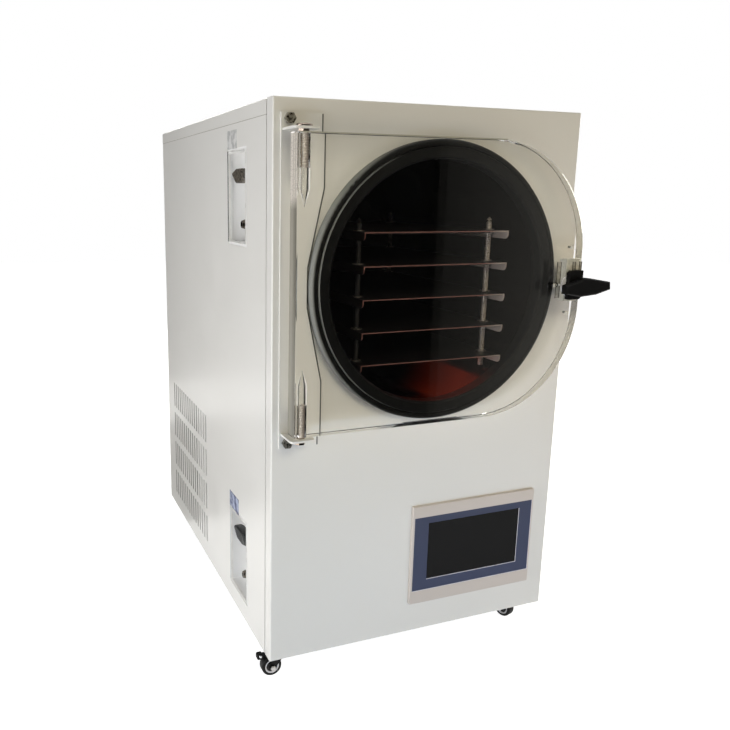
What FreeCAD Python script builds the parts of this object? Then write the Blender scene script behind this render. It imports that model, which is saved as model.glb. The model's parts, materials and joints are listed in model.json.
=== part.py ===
import FreeCAD, Part
import os
import Sketcher
from FreeCAD import Placement, Rotation, Vector

doc = FreeCAD.newDocument("freeze_dryer")

# Driving dimensions in millimetres (angles in degrees). The row frame is X right, Y towards
# the back, Z up from the floor.
sizes = {
    # cabinet
    "leftX": -255.0,            # left face of the cabinet
    "frontY": -304.0,           # front face of the fascia
    "castorHeight": 45.0,       # floor to the cabinet's lower edge
    "cabinetWidth": 492.0,
    "cabinetDepth": 669.0,
    "cabinetHeight": 805.0,
    "sheetWall": 1.5,
    "bendRadius": 2.5,
    "fasciaReturn": 24.0,
    "fasciaLip": 22.0,
    "tabWidth": 5.0,
    "seamGap": 1.0,
    "panelFlange": 15.0,
    "lidBand": 20.0,
    "trayWall": 2.0,
    "trayUpstand": 25.0,
    "postWidth": 22.0,
    "angleWall": 3.0,
    "saddleWall": 5.0,
    "saddleFront": 62.0,        # front saddle behind the fascia
    "saddleSpan": 270.0,
    "saddleDepth": 150.0,       # saddle's lower edge below the chamber axis
    "saddleReach": 70.0,        # saddle's upper edge below the chamber axis
    # louvre slots in the side panels
    "slotWidth": 6.0,
    "slotHeight": 52.0,
    "slotPitch": 17.0,
    "slotRowPitch": 66.5,
    "slotColumns": 16,
    "slotRows": 4,
    "slotFrontY": 350.0,        # first column behind the fascia
    "slotBottomZ": 31.0,        # first row above the cabinet's lower edge
    # vacuum chamber and gasket
    "chamberSide": 70.0,        # chamber's inside from the cabinet's sides
    "chamberWall": 3.0,
    "chamberDepth": 405.0,
    "chamberDome": 45.0,
    "flangeWidth": 18.0,
    "flangeThick": 4.0,
    "chamberHoleGap": 3.0,
    "gasketOver": 22.5,         # gasket's outer radius beyond the chamber's inner one
    "gasketThick": 17.7,
    "gasketLip": 4.0,
    "gasketCrease": 9.0,
    "gasketRound": 5.0,
    "gasketBead": 3.0,          # depth of the crease beside the bead
    "gasketStep": 1.5,          # shoulder behind the bead's face
    "coilRadius": 5.0,
    "coilTurns": 5,
    "coilGap": 10.0,            # end rings from the pipe and from the rear saddle
    # shelf rack
    "shelfCount": 5,
    "shelfSide": 58.5,          # shelf's sides from the chamber's inside
    "shelfLength": 372.0,
    "shelfPitch": 46.5,
    "shelfFlange": 12.0,
    "shelfCorner": 7.0,         # round at the lower front corner of a flange
    "rackClear": 0.6,           # lowest shelf's corners above the gasket's lip
    "shelfProud": 5.0,          # shelf edge in front of the fascia
    "matMargin": 14.0,
    "matThick": 2.5,
    "rodRadius": 4.0,
    "rodInset": 9.0,
    "rodSetback": 36.0,
    "rodTop": 14.0,
    "nutWidth": 13.0,
    "nutThick": 5.0,
    "seatGap": 0.3,
    # door
    "doorGap": 0.3,
    "doorThick": 25.0,
    "doorMargin": 1.0,
    "doorLeftMargin": 30.0,
    "doorRightMargin": 33.6,
    "doorCorner": 160.0,
    "doorChamfer": 1.2,
    # hinge
    "pivotInset": 13.2,
    "pivotRadius": 4.0,
    "pivotDrillRadius": 7.0,
    "pivotDrillDepth": 71.0,
    "pivotDrillTip": 22.0,
    "sleeveLength": 44.0,
    "runningGap": 0.05,
    "lugGap": 3.5,
    "lugThick": 3.0,
    "lugDepth": 44.0,
    "lugLeft": 2.2,             # lug's left edge from the plate's left edge
    "lugWidth": 36.0,
    "lugCorner": 6.0,
    "plateThick": 3.5,
    "plateWidth": 57.0,
    "plateEnd": 20.0,
    "plateOverhang": 7.3,
    "plateDrop": 19.0,          # plate's upper end below the cabinet's top
    "waistGap": 2.4,
    "waistHalf": 27.0,
    "waistTaper": 131.0,
    "boltInset": 11.5,
    "boltEnd": 8.0,
    "hexWidth": 13.0,
    "hexThick": 5.5,
    "thinNut": 2.9,
    "capRadius": 11.0,
    "capThick": 3.5,
    # latch
    "spindleOut": 14.6,         # spindle beyond the gasket's outer radius
    "spindleDrop": 8.0,
    "spindleRadius": 5.0,
    "windowLeft": 9.5,
    "windowWidth": 24.0,
    "windowHalf": 31.0,
    "caseWall": 2.5,
    "caseFit": 0.2,
    "plateDiscRadius": 17.0,
    "plateDiscThick": 1.5,
    "baseLeft": 9.0,
    "baseWidth": 24.0,
    "baseHeight": 43.0,
    "baseRise": 1.5,
    "baseThick": 8.0,
    "leverThick": 12.0,
    "leverLength": 59.0,
    "leverLean": 1.5,
    "leverTip": 5.7,
    "leverTail": 23.0,
    "leverTailTop": 2.4,
    "leverTailLow": 10.4,
    "leverTop": 13.5,
    "leverNotch": 9.5,
    "leverShoulder": 19.5,
    "leverShoulderTop": 12.2,
    "leverLow": 15.0,
    "leverBelly": 33.0,
    "leverBellyLow": 12.6,
    "leverBevel": 2.0,
    "camLength": 23.0,
    "camHeel": 7.0,
    "camTail": 8.0,
    "camHalf": 6.0,
    "camThick": 3.0,
    "camBack": 5.0,             # cam behind the door's rear face
    "strikeWall": 2.0,
    "strikeGap": 1.0,
    "strikeReach": 11.0,
    "strikeHalf": 14.0,
    "screwRadius": 3.0,
    "screwSpread": 49.0,
    "stopOut": 28.0,
    # operator panel
    "panelRight": 34.5,
    "panelWidth": 226.5,
    "panelBottom": 50.0,
    "panelHeight": 164.0,
    "panelThick": 6.0,
    "panelCorner": 2.0,
    "panelSide": 3.6,
    "bandBottom": 22.5,
    "bandTop": 18.5,
    "bandThick": 2.0,
    "screenSide": 25.0,
    "screenBottom": 18.0,
    "screenTop": 10.8,
    "housingDepth": 36.0,
    "housingInset": 8.0,
    # side pockets and valves
    "pocketFrontY": 112.0,
    "pocketWidth": 84.0,
    "pocketHeight": 134.0,
    "pocketDepth": 30.0,
    "pocketFlange": 9.0,
    "pocketGap": 3.0,           # rim's outside from the panel's cut edge
    "pocketRound": 0.7,
    "upperPocketZ": 611.0,
    "lowerPocketZ": 35.0,
    "knobRise": 98.0,
    "nozzleRise": 27.0,
    "knobReach": 30.0,
    "knobHalf": 10.5,
    "knobTaper": 17.0,          # length of a wing's taper
    "knobTip": 3.6,             # wing's tip above the knob's axis
    "knobTipHalf": 1.8,
    "knobThick": 13.0,
    "knobBevel": 2.0,
    "gripCount": 8,
    "gripPitch": 4.0,
    "gripWidth": 1.4,
    "gripDepth": 1.2,
    "knobProud": 1.5,           # knob's face behind the side panel's face
    "stemRadius": 4.0,
    "valveHalf": 14.0,
    "valveDepth": 24.0,
    "nozzleRadius": 6.0,
    "nozzleBarb": 1.2,
    "nozzleLength": 24.0,
    "barbPitch": 5.2,
    "barbTaper": 0.9,
    "nozzleBore": 3.5,
    "pipeRadius": 6.0,
    "pipeBend": 45.0,
    # castors
    "castorInset": 28.0,
    "castorFront": 36.0,
    "castorTrail": 14.0,
    "castorPlate": 38.0,
    "castorPlateThick": 2.0,
    "raceRadius": 12.0,
    "raceThick": 4.0,
    "forkWall": 1.8,
    "forkHalf": 8.4,            # inside of a fork leg from the middle
    "wheelRadius": 16.0,
    "wheelWidth": 15.0,
    "wheelRound": 2.5,
    "rimRadius": 12.4,
    "rimGroove": 0.7,
    "hubRecess": 10.4,
    "hubBoss": 5.6,
    "hubDepth": 1.4,
    "axleRadius": 3.0,
    "axleHead": 4.4,
    "legTip": 5.7,              # fork leg's half width at the axle
    "pedalHalf": 4.8,
    "pedalArm": 3.0,            # half width of the pedal's arm
    "pedalLength": 29.3,        # from its pin to the end of the tread
    "pedalThick": 3.8,
    "pedalRound": 3.0,
    "pedalTread": 9.5,
    "pedalLift": 3.8,           # tread's top above the pin
    "pedalPin": 1.3,
    "castorTurn1": 0.0,
    "castorTurn2": -72.0,
    "castorTurn3": 180.0,
    "castorTurn4": 160.0,
    # refrigeration
    "compressorRight": 157.0,
    "compressorY": 430.0,
    "compressorRadius": 78.0,
    "compressorHeight": 185.0,
    "compressorDome": 45.0,
    "compressorFoot": 8.0,
    "compressorPlate": 4.0,
    "compressorLip": 4.0,
    "compressorSeam": 100.0,
    "footRadius": 9.0,
    "condenserX": 14.0,
    "condenserDepth": 36.0,
    "condenserMargin": 4.0,
    "finCount": 14,
    "finWall": 2.0,
    "tubeRadius": 5.0,
    "shroudWall": 2.0,
    "fanRadius": 92.0,
    "fanDepth": 20.0,
    "fanGap": 4.0,
    "hubRadius": 26.0,
    "bladeCount": 5,
    "bladeWall": 2.0,
    "bladePitch": 28.0,
    "motorRadius": 34.0,
    "motorLength": 42.0,
    "motorShaft": 4.0,
    # rear power inlet
    "inletRight": 92.0,
    "inletZ": 90.0,
    "inletWidth": 47.0,
    "inletHeight": 28.0,
    "inletDepth": 26.0,
    "inletFlange": 4.0,
    "socketWidth": 24.0,
    "socketHeight": 17.0,
    "socketDepth": 18.0,
    "prongWidth": 2.0,
    "prongPitch": 7.0,
    "prongLength": 14.0,
    "switchRight": 129.0,
    "switchDepth": 18.0,
    "switchWidth": 13.0,
    "switchHeight": 20.0,
    "switchProud": 3.0,
    "rockerSet": 5.0,           # rocker's pin behind the rear panel's face
    "rockerPin": 1.2,
    "rockerRoot": 3.0,
}

sheet = doc.addObject("Spreadsheet::Sheet", "size")
for row, (alias, number) in enumerate(sizes.items(), start=1):
    sheet.set("A%d" % row, alias)
    sheet.set("B%d" % row, str(number))
    sheet.setAlias("B%d" % row, alias)
doc.recompute()

# Places that several pieces share, as expressions of the driving dimensions.
left = "size.leftX"
right = "(size.leftX + size.cabinetWidth)"
middle = "(size.leftX + size.cabinetWidth / 2)"
front = "size.frontY"
back = "(size.frontY + size.cabinetDepth)"
bottom = "size.castorHeight"
top = "(size.castorHeight + size.cabinetHeight)"
sideFront = f"({front} + size.fasciaReturn + size.seamGap)"
sideTop = f"({top} - size.lidBand - size.seamGap)"
rearInside = f"({back} - 2 * size.sheetWall)"
floorZ = f"({bottom} + size.trayWall)"
chamberRadius = "(size.cabinetWidth / 2 - size.chamberSide)"
shellRadius = f"({chamberRadius} + size.chamberWall)"
gasketRadius = f"({chamberRadius} + size.gasketOver)"
lipRadius = f"({chamberRadius} - size.gasketLip)"
doorHalf = f"({gasketRadius} + size.doorMargin)"
lugInside = f"({doorHalf} + size.lugGap)"
lugOutside = f"({lugInside} + size.lugThick)"
plateHalf = f"({lugOutside} + size.plateEnd)"
chamberZ = f"({top} - size.plateDrop - {plateHalf})"
doorBack = f"({front} - size.gasketThick - size.doorGap)"
doorFront = f"({doorBack} - size.doorThick)"
doorLeft = f"({middle} - {gasketRadius} - size.doorLeftMargin)"
doorRight = f"({middle} + {gasketRadius} + size.doorRightMargin)"
pivotX = f"({doorLeft} + size.pivotInset)"
pivotY = f"({doorBack} - size.doorThick / 2)"
plateLeft = f"({doorLeft} - size.plateOverhang)"
spindleX = f"({middle} + {gasketRadius} + size.spindleOut)"
spindleZ = f"({chamberZ} - size.spindleDrop)"
windowLeft = f"({spindleX} - size.windowLeft)"
windowRight = f"({windowLeft} + size.windowWidth)"
discFront = f"({doorFront} - size.plateDiscThick)"
baseFront = f"({discFront} - size.baseThick)"
pocketMid = f"({front} + size.pocketFrontY + size.pocketWidth / 2)"
pocketBack = f"({left} + size.pocketDepth)"
valveFace = f"({pocketBack} + size.sheetWall)"
panelX = f"({right} - size.panelRight - size.panelWidth)"
panelZ = f"({bottom} + size.panelBottom)"

subParts = []


def pocketBase(rise):
    return f"({bottom} + {rise})"


def keep(label, item):
    item.Label = label
    subParts.append(item)
    return item


def at(expression):
    """Number that an expression of the sheet has now."""
    return float(sheet.evalExpression(expression))


def sketchOn(body, plane, height, loops, origin=("0", "0")):
    """Sketch on one of the body's own origin planes, moved along its normal to height.
    A loop is a list of (u, v) corners, or one (u, v, radius) circle."""
    sketch = body.newObject("Sketcher::SketchObject", "outline")
    support = [item for item in body.Origin.OriginFeatures if item.Role == plane + "_Plane"]
    sketch.AttachmentSupport = (support[0], [""])
    sketch.MapMode = "FlatFace"
    sign = "-" if plane == "XZ" else ""
    sketch.setExpression("AttachmentOffset.Base.x", origin[0])
    sketch.setExpression("AttachmentOffset.Base.y", origin[1])
    sketch.setExpression("AttachmentOffset.Base.z", f"{sign}({height})")

    def pin(geometry, end, corner):
        for kind, text in zip(("DistanceX", "DistanceY"), corner):
            rule = Sketcher.Constraint(kind, -1, 1, geometry, end, at(text))
            sketch.setExpression("Constraints[%d]" % sketch.addConstraint(rule), text)

    for loop in loops:
        first = sketch.GeometryCount
        if isinstance(loop, tuple):
            centre = Vector(at(loop[0]), at(loop[1]), 0)
            sketch.addGeometry(Part.Circle(centre, Vector(0, 0, 1), at(loop[2])), False)
            pin(first, 3, loop[:2])
            rule = Sketcher.Constraint("Radius", first, at(loop[2]))
            sketch.setExpression("Constraints[%d]" % sketch.addConstraint(rule), loop[2])
            continue
        corners = [Vector(at(u), at(v), 0) for u, v in loop]
        count = len(corners)
        for i in range(count):
            line = Part.LineSegment(corners[i], corners[(i + 1) % count])
            sketch.addGeometry(line, False)
        for i in range(count):
            follower = first + (i + 1) % count
            sketch.addConstraint(Sketcher.Constraint("Coincident", first + i, 2, follower, 1))
            pin(first + i, 1, loop[i])
    return sketch


def rectangle(low, high):
    """Four corners of a rectangle from two opposite (u, v) corners."""
    return [low, (high[0], low[1]), high, (low[0], high[1])]


def bodyNamed(label, base=None, turn=None):
    """New body. base is its place, turn its angle about Z."""
    body = doc.addObject("PartDesign::Body", label)
    for axis, text in zip("xyz", base or ()):
        body.setExpression("Placement.Base." + axis, text)
    if turn:
        body.setExpression("Placement.Rotation.Angle", turn)
    return body


def pad(body, plane, low, high, loops):
    """Solid between low and high along the plane's own row axis."""
    start = high if plane == "XZ" else low
    feature = body.newObject("PartDesign::Pad", "pad")
    feature.Profile = sketchOn(body, plane, start, loops)
    feature.setExpression("Length", f"({high}) - ({low})")
    return feature


def pocket(body, plane, low, high, loops):
    """Hole between low and high along the plane's own row axis."""
    start = low if plane == "XZ" else high
    feature = body.newObject("PartDesign::Pocket", "pocket")
    feature.Profile = sketchOn(body, plane, start, loops)
    feature.setExpression("Length", f"({high}) - ({low})")
    return feature


def revolve(body, plane, loops, kind="Revolution", origin=("0", "0"), height="0", axis="V_Axis"):
    """Ring or disc turned about the sketch's own axis."""
    feature = body.newObject("PartDesign::" + kind, kind.lower())
    sketch = sketchOn(body, plane, height, loops, origin)
    feature.Profile = sketch
    feature.ReferenceAxis = (sketch, [axis])
    feature.Angle = 360
    return feature


def dress(body, kind, amount, picks):
    """Fillet or Chamfer of the edges that picks accepts."""
    doc.recompute()
    base = body.Tip
    names = ["Edge%d" % n for n, edge in enumerate(base.Shape.Edges, start=1) if picks(edge)]
    feature = body.newObject("PartDesign::" + kind, kind.lower())
    feature.Base = (base, names)
    feature.setExpression("Radius" if kind == "Fillet" else "Size", amount)
    return feature


def runs(edge, axis):
    """True for a straight edge along X, Y or Z."""
    box = edge.BoundBox
    spans = {"X": box.XLength, "Y": box.YLength, "Z": box.ZLength}
    return spans.pop(axis) > 0.1 and max(spans.values()) < 0.01


def lies(edge, axis, value):
    """True where the whole edge lies at one value of an axis."""
    box = edge.BoundBox
    low, high = getattr(box, axis + "Min"), getattr(box, axis + "Max")
    return abs(low - value) < 0.01 and abs(high - value) < 0.01


def block(x, y, z, label="block"):
    """Part box between two expressions on each axis."""
    item = doc.addObject("Part::Box", label)
    for side, axis, (low, high) in zip(("Length", "Width", "Height"), "xyz", (x, y, z)):
        item.setExpression(side, f"({high}) - ({low})")
        item.setExpression("Placement.Base." + axis, low)
    return item


def rod(axis, radius, low, high, centre, label="rod"):
    """Part cylinder along X, Y or Z; centre gives the other two axes in order."""
    item = doc.addObject("Part::Cylinder", label)
    item.setExpression("Radius", radius)
    item.setExpression("Height", f"({high}) - ({low})")
    turns = {"X": Rotation(Vector(0, 1, 0), 90), "Y": Rotation(Vector(1, 0, 0), -90),
             "Z": Rotation()}
    item.Placement = Placement(Vector(), turns[axis])
    places = dict(zip([name for name in "XYZ" if name != axis], centre))
    places[axis] = low
    for name, text in places.items():
        item.setExpression("Placement.Base." + name.lower(), text)
    return item


def join(items, label="joined"):
    """One solid fused from overlapping or touching ones."""
    item = doc.addObject("Part::MultiFuse", label)
    item.Shapes = items
    return item


def minus(base, tools, label="cut"):
    """Base with the tools taken away."""
    item = doc.addObject("Part::Cut", label)
    item.Base = base
    item.Tool = tools[0] if len(tools) == 1 else join(tools)
    return item


def group(items, label="group"):
    """Identical pieces that share one node as separate solids."""
    item = doc.addObject("Part::Compound", label)
    item.Links = items
    return item


def hexagon(centre, width):
    """Corners of a hexagon across flats width, points left and right."""
    u, v = centre
    reach = f"({width}) / 2 / cos(30 deg)"
    half = f"({width}) / 2"
    return [(f"{u} + {reach}", v), (f"{u} + {reach} / 2", f"{v} + {half}"),
            (f"{u} - {reach} / 2", f"{v} + {half}"), (f"{u} - {reach}", v),
            (f"{u} - {reach} / 2", f"{v} - {half}"), (f"{u} + {reach} / 2", f"{v} - {half}")]


# ---- cabinet ----

def makeFascia():
    """Folded tray: front sheet, four returns and a lip behind them."""
    body = bodyNamed("fascia")
    rear = f"({front} + size.fasciaReturn)"
    pad(body, "XZ", front, rear, [rectangle((left, bottom), (right, top))])
    ends = (at(front), at(rear))
    dress(body, "Fillet", "size.bendRadius",
          lambda edge: any(lies(edge, "Y", y) for y in ends))
    inner = [(f"{left} + {w}", f"{bottom} + {w}") for w in ("size.sheetWall", "size.fasciaLip")]
    outer = [(f"{right} - {w}", f"{top} - {w}") for w in ("size.sheetWall", "size.fasciaLip")]
    pocket(body, "XZ", f"{front} + size.sheetWall", f"{rear} - size.sheetWall",
           [rectangle(inner[0], outer[0])])
    pocket(body, "XZ", f"{rear} - size.sheetWall", rear, [rectangle(inner[1], outer[1])])
    pocket(body, "XZ", front, f"{front} + size.sheetWall",
           [(middle, chamberZ, f"{shellRadius} + size.chamberHoleGap")])
    inset = "size.housingInset"
    pocket(body, "XZ", front, f"{front} + size.sheetWall",
           [rectangle((f"{panelX} + {inset}", f"{panelZ} + {inset}"),
                      (f"{panelX} + size.panelWidth - {inset}",
                       f"{panelZ} + size.panelHeight - {inset}"))])
    holes = [(f"{plateLeft} + size.boltInset", f"{chamberZ} {sign} {plateHalf} {back_} size.boltEnd",
              "size.pivotRadius + size.runningGap") for sign, back_ in (("+", "-"), ("-", "+"))]
    pocket(body, "XZ", front, f"{front} + size.sheetWall", holes)
    return keep("front_fascia", body)


def pocketOutline(rise, extra="0"):
    """Mouth of a side pocket, or a rectangle that is larger by extra all round."""
    low = (f"{pocketMid} - size.pocketWidth / 2", pocketBase(rise))
    high = (f"{pocketMid} + size.pocketWidth / 2", f"{low[1]} + size.pocketHeight")
    return rectangle((f"{low[0]} - ({extra})", f"{low[1]} - ({extra})"),
                     (f"{high[0]} + ({extra})", f"{high[1]} + ({extra})"))


def slotBank(body, wallLow, wallHigh):
    """Louvre slots in rows and columns through a side panel."""
    low = (f"{front} + size.slotFrontY", f"{bottom} + size.slotBottomZ")
    high = (f"{low[0]} + size.slotWidth", f"{low[1]} + size.slotHeight")
    slot = pocket(body, "YZ", wallLow, wallHigh, [rectangle(low, high)])
    pattern = body.newObject("PartDesign::LinearPattern", "slots")
    pattern.Originals = [slot]
    pattern.Direction = (slot.Profile[0], ["H_Axis"])
    pattern.Direction2 = (slot.Profile[0], ["V_Axis"])
    pattern.setExpression("Length", "size.slotPitch * (size.slotColumns - 1)")
    pattern.setExpression("Occurrences", "size.slotColumns")
    pattern.setExpression("Length2", "size.slotRowPitch * (size.slotRows - 1)")
    pattern.setExpression("Occurrences2", "size.slotRows")
    body.Tip = pattern


def makeSidePanel(label, face, sign):
    """Sheet with a flange folded in along its front and its back edge."""
    body = bodyNamed(label)
    wall = f"({face} {sign} size.sheetWall)"
    flange = f"({face} {sign} size.panelFlange)"
    pad(body, "XY", bottom, sideTop,
        [[(face, sideFront), (flange, sideFront), (flange, f"{sideFront} + size.sheetWall"),
          (wall, f"{sideFront} + size.sheetWall"), (wall, f"{back} - size.sheetWall"),
          (flange, f"{back} - size.sheetWall"), (flange, back), (face, back)]])
    corner = (at(face), at(back))
    dress(body, "Fillet", "size.sheetWall * 0.9",
          lambda edge: runs(edge, "Z") and lies(edge, "X", corner[0]) and lies(edge, "Y", corner[1]))
    low, high = (face, wall) if sign == "+" else (wall, face)
    slotBank(body, low, high)
    return body, low, high


def makeSidePanels():
    body, low, high = makeSidePanel("leftPanel", left, "+")
    for rise in ("size.upperPocketZ", "size.lowerPocketZ"):
        pocket(body, "YZ", low, high, [pocketOutline(rise, "size.sheetWall + size.pocketGap")])
    keep("left_side_panel", body)
    body, low, high = makeSidePanel("rightPanel", right, "-")
    keep("right_side_panel", body)


def makeRearPanel():
    """Flat sheet inside the side panels' rear flanges, with the inlet and switch holes."""
    body = bodyNamed("rearPanel")
    low, high = rearInside, f"({back} - size.sheetWall)"
    wall = "size.sheetWall"
    pad(body, "XZ", low, high, [rectangle((f"{left} + {wall}", bottom),
                                          (f"{right} - {wall}", sideTop))])
    for x, width, height in (("size.inletRight", "size.inletWidth", "size.inletHeight"),
                             ("size.switchRight", "size.switchWidth", "size.switchHeight")):
        centre = (f"{right} - {x}", f"{bottom} + size.inletZ")
        grow = "+ 2 * size.caseFit"
        pocket(body, "XZ", low, high,
               [rectangle((f"{centre[0]} - ({width} {grow}) / 2",
                           f"{centre[1]} - ({height} {grow}) / 2"),
                          (f"{centre[0]} + ({width} {grow}) / 2",
                           f"{centre[1]} + ({height} {grow}) / 2"))])
    keep("rear_panel", body)


def makeTopCover():
    """Shallow lid whose bands come down over the side panels' line."""
    body = bodyNamed("topCover")
    base = f"({top} - size.lidBand)"
    pad(body, "XY", base, top, [rectangle((left, sideFront), (right, back))])
    height = at(top)
    dress(body, "Fillet", "size.bendRadius", lambda edge: lies(edge, "Z", height))
    wall = "size.sheetWall"
    pocket(body, "XY", base, f"{top} - {wall}",
           [rectangle((f"{left} + {wall}", f"{sideFront} + {wall}"),
                      (f"{right} - {wall}", f"{back} - {wall}"))])
    keep("top_cover", body)


def makeBaseTray():
    """Floor sheet with four upstands; the castors bolt to it from below."""
    body = bodyNamed("baseTray")
    wall = "size.sheetWall"
    low = (f"{left} + {wall}", f"{sideFront} + {wall}")
    high = (f"{right} - {wall}", rearInside)
    pad(body, "XY", bottom, f"{bottom} + size.trayUpstand", [rectangle(low, high)])
    skin = "size.trayWall"
    pocket(body, "XY", floorZ, f"{bottom} + size.trayUpstand",
           [rectangle((f"{low[0]} + {skin}", f"{low[1]} + {skin}"),
                      (f"{high[0]} - {skin}", f"{high[1]} - {skin}"))])
    keep("base_tray", body)


def makeInnerFrame():
    """Angle posts, flat rails, tabs to the fascia's lip, and two saddles for the chamber."""
    skin = "(size.sheetWall + size.trayWall)"
    xs = ((f"{left} + {skin}", f"{left} + {skin} + size.postWidth"),
          (f"{right} - {skin} - size.postWidth", f"{right} - {skin}"))
    ys = ((f"{sideFront} + {skin}", f"{sideFront} + {skin} + size.postWidth"),
          (f"{rearInside} - size.trayWall - size.postWidth", f"{rearInside} - size.trayWall"))
    lidInside = f"({top} - size.sheetWall)"
    wall = "size.angleWall"
    thinX = ((xs[0][0], f"{xs[0][0]} + {wall}"), (f"{xs[1][1]} - {wall}", xs[1][1]))
    thinY = ((ys[0][0], f"{ys[0][0]} + {wall}"), (f"{ys[1][1]} - {wall}", ys[1][1]))
    pieces = [block(x, y, (floorZ, lidInside)) for x in xs for y in thinY]
    pieces += [block(x, y, (floorZ, lidInside)) for x in thinX for y in ys]
    rail = (f"{lidInside} - size.postWidth", lidInside)
    pieces += [block(x, (ys[0][0], ys[1][1]), rail) for x in thinX]
    pieces += [block((xs[0][0], xs[1][1]), thinY[1], rail)]
    inside = "(size.panelFlange + size.seamGap)"
    tabs = ((f"{left} + {inside}", f"{left} + {inside} + size.tabWidth"),
            (f"{right} - {inside} - size.tabWidth", f"{right} - {inside}"))
    tabZ = (f"({bottom} + size.trayUpstand)", sideTop)
    pieces += [block(x, (f"{front} + size.fasciaReturn", thinY[0][1]), tabZ) for x in tabs]
    lower = (f"{chamberZ} - size.saddleDepth - size.postWidth", f"{chamberZ} - size.saddleDepth")
    pieces += [block(x, (ys[0][0], ys[1][1]), lower) for x in thinX]
    saddles = []
    for shift in ("size.saddleFront", "size.saddleFront + size.saddleSpan"):
        y = f"{front} + {shift}"
        saddles.append(block((xs[0][0], xs[1][1]), (y, f"{y} + size.saddleWall"),
                             (f"{lower[0]} - 2 * size.postWidth", f"{chamberZ} - size.saddleReach")))
    shell = rod("Y", shellRadius, front, f"{front} + size.chamberDepth", (middle, chamberZ))
    keep("inner_frame", join(pieces + [minus(join(saddles), [shell])]))


# ---- vacuum chamber ----

def makeChamber():
    """Welded tube with a domed back, a front flange and its two pipe ports."""
    body = bodyNamed("chamber", (middle, front, chamberZ))
    inner, outer = chamberRadius, shellRadius
    rim = f"{inner} + size.flangeWidth"
    end = "size.chamberDepth"
    revolve(body, "XY", [[(inner, "-size.flangeThick"), (rim, "-size.flangeThick"), (rim, "0"),
                          (outer, "0"), (outer, f"{end} + size.chamberWall"),
                          ("0", f"{end} + size.chamberWall"), ("0", end), (inner, end)]])
    depth = at(end)
    dress(body, "Fillet", "size.chamberDome", lambda edge: lies(edge, "Y", depth))
    outside = at(f"{end} + size.chamberWall")
    dress(body, "Fillet", "size.chamberDome + size.chamberWall",
          lambda edge: lies(edge, "Y", outside) and edge.BoundBox.XLength > at(shellRadius))
    portY = f"{pocketMid} - {front}"
    pocket(body, "YZ", f"-{outer} - size.chamberWall", "0",
           [(portY, f"{bottom} + size.upperPocketZ + size.nozzleRise - {chamberZ}",
             "size.nozzleBore")])
    pocket(body, "XY", f"-{outer} - size.chamberWall", "0", [("0", portY, "size.nozzleBore")])
    keep("chamber_vessel", body)


def makeGasket():
    """Moulded ring that clips over the flange: skirt, rounded shoulder, crease, bead, lip."""
    body = bodyNamed("gasket", (middle, front, chamberZ))
    inner, outer = lipRadius, gasketRadius
    face = "-size.gasketThick"
    shoulder = f"({face} + size.gasketStep)"
    crease = f"({outer} - size.gasketCrease)"
    rim = f"({chamberRadius} + size.flangeWidth + size.runningGap)"
    bore = f"{chamberRadius} - size.runningGap"
    revolve(body, "XY",
            [[(bore, "size.gasketLip"),
              (inner, "size.gasketLip"), (inner, f"{face} + size.gasketBead"),
              (f"{inner} + size.gasketBead", face), (f"{crease} - size.gasketStep", face),
              (crease, f"{face} + size.gasketBead"), (f"{crease} + size.gasketStep", shoulder),
              (outer, shoulder), (outer, "0"), (rim, "0"), (rim, "-size.flangeThick"),
              (bore, "-size.flangeThick")]])
    shoulderY = at(shoulder)
    reach = at(f"2 * {outer}")
    dress(body, "Fillet", "size.gasketRound",
          lambda edge: lies(edge, "Y", shoulderY) and abs(edge.BoundBox.XLength - reach) < 0.5)
    keep("door_gasket", body)


def makeColdCoil():
    """Evaporator tubes: one ring per turn round the chamber's shell, joined by a header."""
    reach = f"({shellRadius} + size.coilRadius)"
    start = f"({pocketMid} + size.pipeRadius + size.coilGap + size.coilRadius)"
    end = (f"({front} + size.saddleFront + size.saddleSpan - size.coilGap"
           " - size.coilRadius)")
    rings = []
    for turn in range(int(sheet.coilTurns)):
        ring = doc.addObject("Part::Torus", "coilRing")
        ring.setExpression("Radius1", reach)
        ring.setExpression("Radius2", "size.coilRadius")
        ring.Placement = Placement(Vector(), Rotation(Vector(1, 0, 0), -90))
        ring.setExpression("Placement.Base.x", middle)
        ring.setExpression("Placement.Base.y",
                           f"{start} + {turn} * ({end} - {start}) / (size.coilTurns - 1)")
        ring.setExpression("Placement.Base.z", chamberZ)
        rings.append(ring)
    header = rod("Y", "size.coilRadius * 0.8", start, end, (middle, f"{chamberZ} + {reach}"))
    keep("cold_coil", join(rings + [header]))


# ---- shelf rack ----

shelfHalf = f"({chamberRadius} - size.shelfSide)"
shelfRise = (f"(size.rackClear + size.shelfFlange - sqrt({lipRadius} ^ 2 - {shelfHalf} ^ 2)"
             " + (size.shelfCount - 1) * size.shelfPitch)")
rodX = f"({shelfHalf} - size.rodInset)"
rodYs = (f"({front} - size.shelfProud + size.rodSetback)",
         f"({front} - size.shelfProud + size.shelfLength - size.rodSetback)")
rodCentres = [(f"({middle} {sign} {rodX})", y) for sign in "-+" for y in rodYs]
rackFoot = (f"({chamberZ} - sqrt({chamberRadius} ^ 2 - ({rodX} + size.rodRadius) ^ 2)"
            " + size.seatGap)")


def shelfTop(number):
    return f"({chamberZ} + {shelfRise} - {number} * size.shelfPitch)"


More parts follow.
